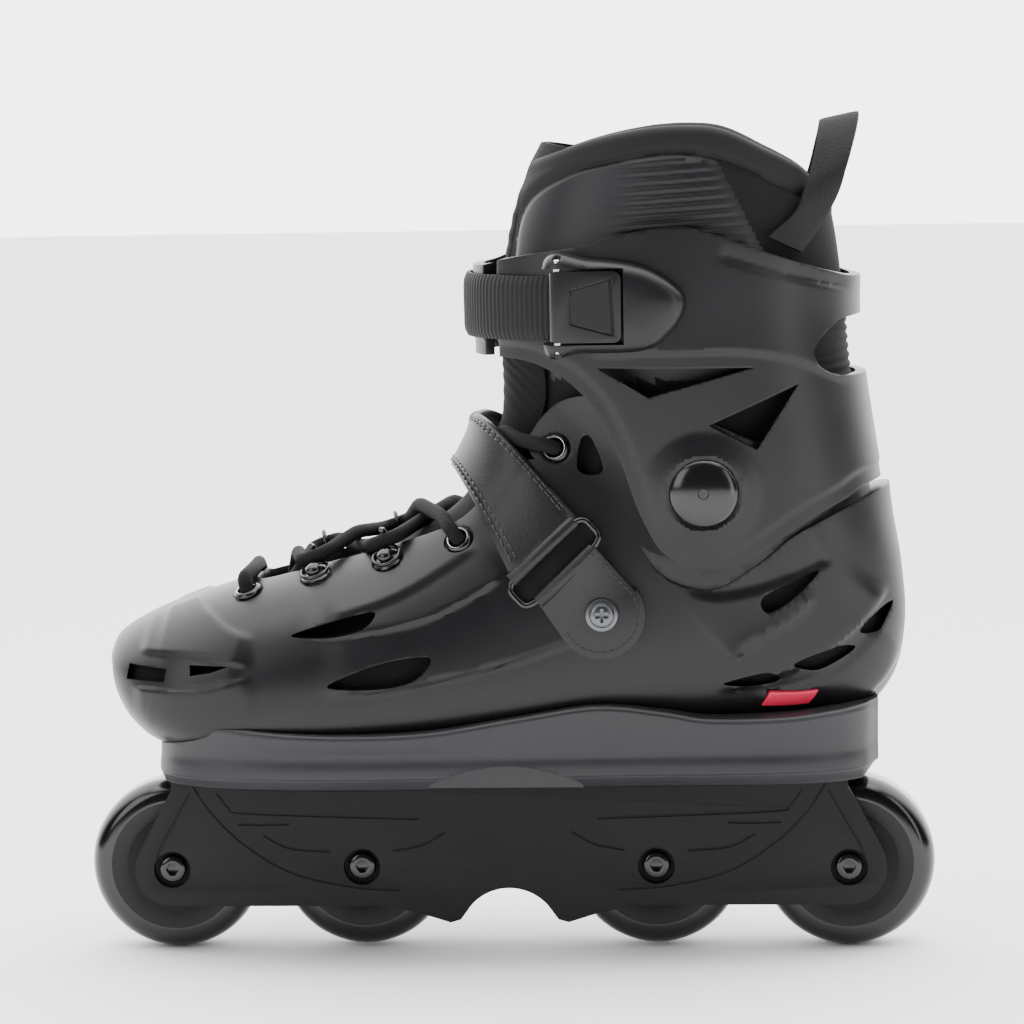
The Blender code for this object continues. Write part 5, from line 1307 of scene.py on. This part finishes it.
def strap_place(station, share, off):
    """A point over the shell: station -1 is the ring, 0 the crown, 1 the inner ring line, 2 the screw."""
    down = min(abs(station), 1.0)
    ends = CROWN + (TO_RING - CROWN) * down
    if station > 1.0:
        ends = TO_RING + (TO_SCREW - TO_RING) * (station - 1.0)
    section, turn = ends[0] + (ends[1] - ends[0]) * share
    turn = turn % 1.0 if station < 0.0 else -turn % 1.0
    lift = STRAP_LIFT + CROWN_LIFT * max(0.0, 1.0 - down / 0.7) ** 0.7
    return SHELL.raised(section, turn, lift + off)


def folded(made, way, half_length, edge_mm):
    """Joins on the leather's fold round one long side of the ring, and edges the whole."""
    middle = RING_CENTRE + RING_UP * (way * RING_HALF_WIDTH)
    ends = [middle - RING_ALONG * half_length, middle + RING_ALONG * half_length]
    return edged(combine(made, [tube("fold", ends, 2.5, None, 24)], "UNION"), edge_mm, 50.0, 45.0)


def instep_strap():
    stations = np.concatenate([np.linspace(-1, 1, 110), np.linspace(1, 2, 40)[1:]])
    shares = np.linspace(0, 1, 22)
    edge = STRAP_THICKNESS * (1 - 0.45 * np.abs(2 * shares - 1) ** 10)
    outer = np.array([[strap_place(s, f, e) for f, e in zip(shares, edge)] for s in stations])
    inner = np.array([[strap_place(s, f, 0.0) for f in shares] for s in stations])
    return folded(thick_sheet("leather_strap", outer, inner, leather), 1, 14.6, 0.4)


def oval_ring():
    def squared(value):
        return math.copysign(abs(value) ** 0.45, value)
    route = [RING_CENTRE + RING_ALONG * (squared(math.cos(a)) * RING_HALF_LENGTH)
             + RING_UP * (squared(math.sin(a)) * RING_HALF_WIDTH) for a in round_angles(96)]
    return edged(tube("oval_ring", route, RING_WIRE, dark_steel, 12, True), 0.0, sharp=60.0)


def anchor_outline(inset=0.0):
    """The tab in side view: a corner at each end of the ring, and round below the screw."""
    outline = [(12.2 + 1.1 * inset, 127.6), (32.0, 145.6 - 1.1 * inset), (45.5 - 0.8 * inset, 130.0)]
    return outline + arc(ANCHOR_SCREW, 15.0 - inset, np.linspace(35, -150, 28))


def anchor_tab():
    return folded(prism("anchor_leather", anchor_outline(), -45.4, -42.9, leather), -1, 13.0, 0.6)


def cross_screw(name, centre, normal, lift):
    """A screw with a washer face, a domed head and a cross recess."""
    axes = looking(normal)
    profile = ((0.0, -2.6), (2.4, -2.6), (2.4, lift), (5.4, lift), (5.6, lift + 0.4), (5.4, lift + 0.9),
               (4.2, lift + 1.1), (3.8, lift + 2.0), (2.6, lift + 2.6), (0.0, lift + 2.8))
    made = spun(name, profile, centre, axes, zinc, 48)
    slots = []
    for number, (a, b) in enumerate(((2.1, 0.45), (0.45, 2.1))):
        corners = [(-a, -b), (a, -b), (a, b), (-a, b)]
        rings = [[(x, y, h) for x, y in corners] for h in (lift + 1.3, lift + 4.0)]
        slots.append(skinned(f"cross_{number}", placed(np.array(rings), centre, axes)))
    return edged(combine(made, slots), 0.15)


place_piece(instep_strap(), "boot", "strap_leather", "instep_strap")
place_piece(oval_ring(), "boot", "black_steel", "strap_ring")
place_piece(anchor_tab(), "boot", "strap_leather", "strap_anchor")
for side, sign in SIDES:
    point, normal = SHELL.on_side(*ANCHOR_SCREW, sign)
    lift = 4.6 if sign == OUTER else STRAP_LIFT + STRAP_THICKNESS + 2 * GAP
    screw = cross_screw(f"strap_screw_{side}", point, normal, lift)
    place_piece(screw, "boot", "bright_steel", f"anchor_screw_{side}")

strap_rows = [[Vector(strap_place(s, share, STRAP_THICKNESS)) for s in np.linspace(-0.93, 0.93, 90)]
              for share in (0.07, 0.13, 0.87, 0.93)]
stitched("strap_stitches", strap_rows, "boot", "strap_leather")
tab_row = [(x, -45.5, z) for x, z in anchor_outline(2.2)]
stitched("anchor_stitches", [tab_row], "boot", "strap_leather", 2.4, 1.7, 0.25)

# %% [markdown]
# ## The pull loop
# A band of woven webbing, sewn flat to the collar on both sides, stands up behind as a loop. It is
# plain: the real one's printing is left off.


# %% Pull loop
def pull_loop():
    knots = []
    for x, z, lean, lift in ((96.0, 244.5, -0.34, 1.7), (104.6, 254.5, -0.05, 1.9)):
        point, normal = LINER.on_side(x, z, OUTER)
        sideways = Vector((1.0, 0.0, lean))
        knots.append((point + normal * lift, (sideways - normal * sideways.dot(normal)).normalized()))
    knots += [(Vector((111.2, -22.5, 267.5)), Vector((0.95, 0.14, 0.27))),
              (Vector((114.8, -12.5, 280.5)), Vector((0.97, 0.05, 0.24))),
              (Vector((116.0, 0.0, 286.5)), Vector((0.98, 0.0, 0.2)))]
    flip = Vector((1.0, -1.0, 1.0))
    knots += [(p * flip, w * flip) for p, w in reversed(knots[:-1])]
    centre = smooth_line([p for p, _ in knots], 14)
    widths = unit(smooth_line([w for _, w in knots], 14))
    ahead = np.gradient(centre, axis=0)
    outward = unit(np.cross(ahead, widths))
    share = np.linspace(-1, 1, 13)
    flat = centre[:, None] + widths[:, None] * (6.8 * share)[None, :, None]
    selvedge = (0.8 - 0.3 * np.abs(share) ** 8)[None, :, None]
    made = thick_sheet("webbing_loop", flat + outward[:, None] * selvedge,
                       flat - outward[:, None] * selvedge, webbing)
    return edged(made, 0.0, sharp=50.0)


place_piece(pull_loop(), "cuff", "webbing", "pull_loop")

# %% [markdown]
# ## Pieces kept as packed
# Bearings, spacers, hidden bolts, the pawl and one screw already have the right shape, so they
# only take a finish.

# %% Finishes for the kept pieces
for name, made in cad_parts.items():
    if made.hide_render:
        continue
    skin = dark_steel if name.startswith("frame_bolt") or name == "buckle_pawl" else bright_steel
    made.data.materials.clear()
    made.data.materials.append(skin)
    print("kept:", name, skin.name)

# %% The pieces made, and the end
print("pieces:", made_pieces)
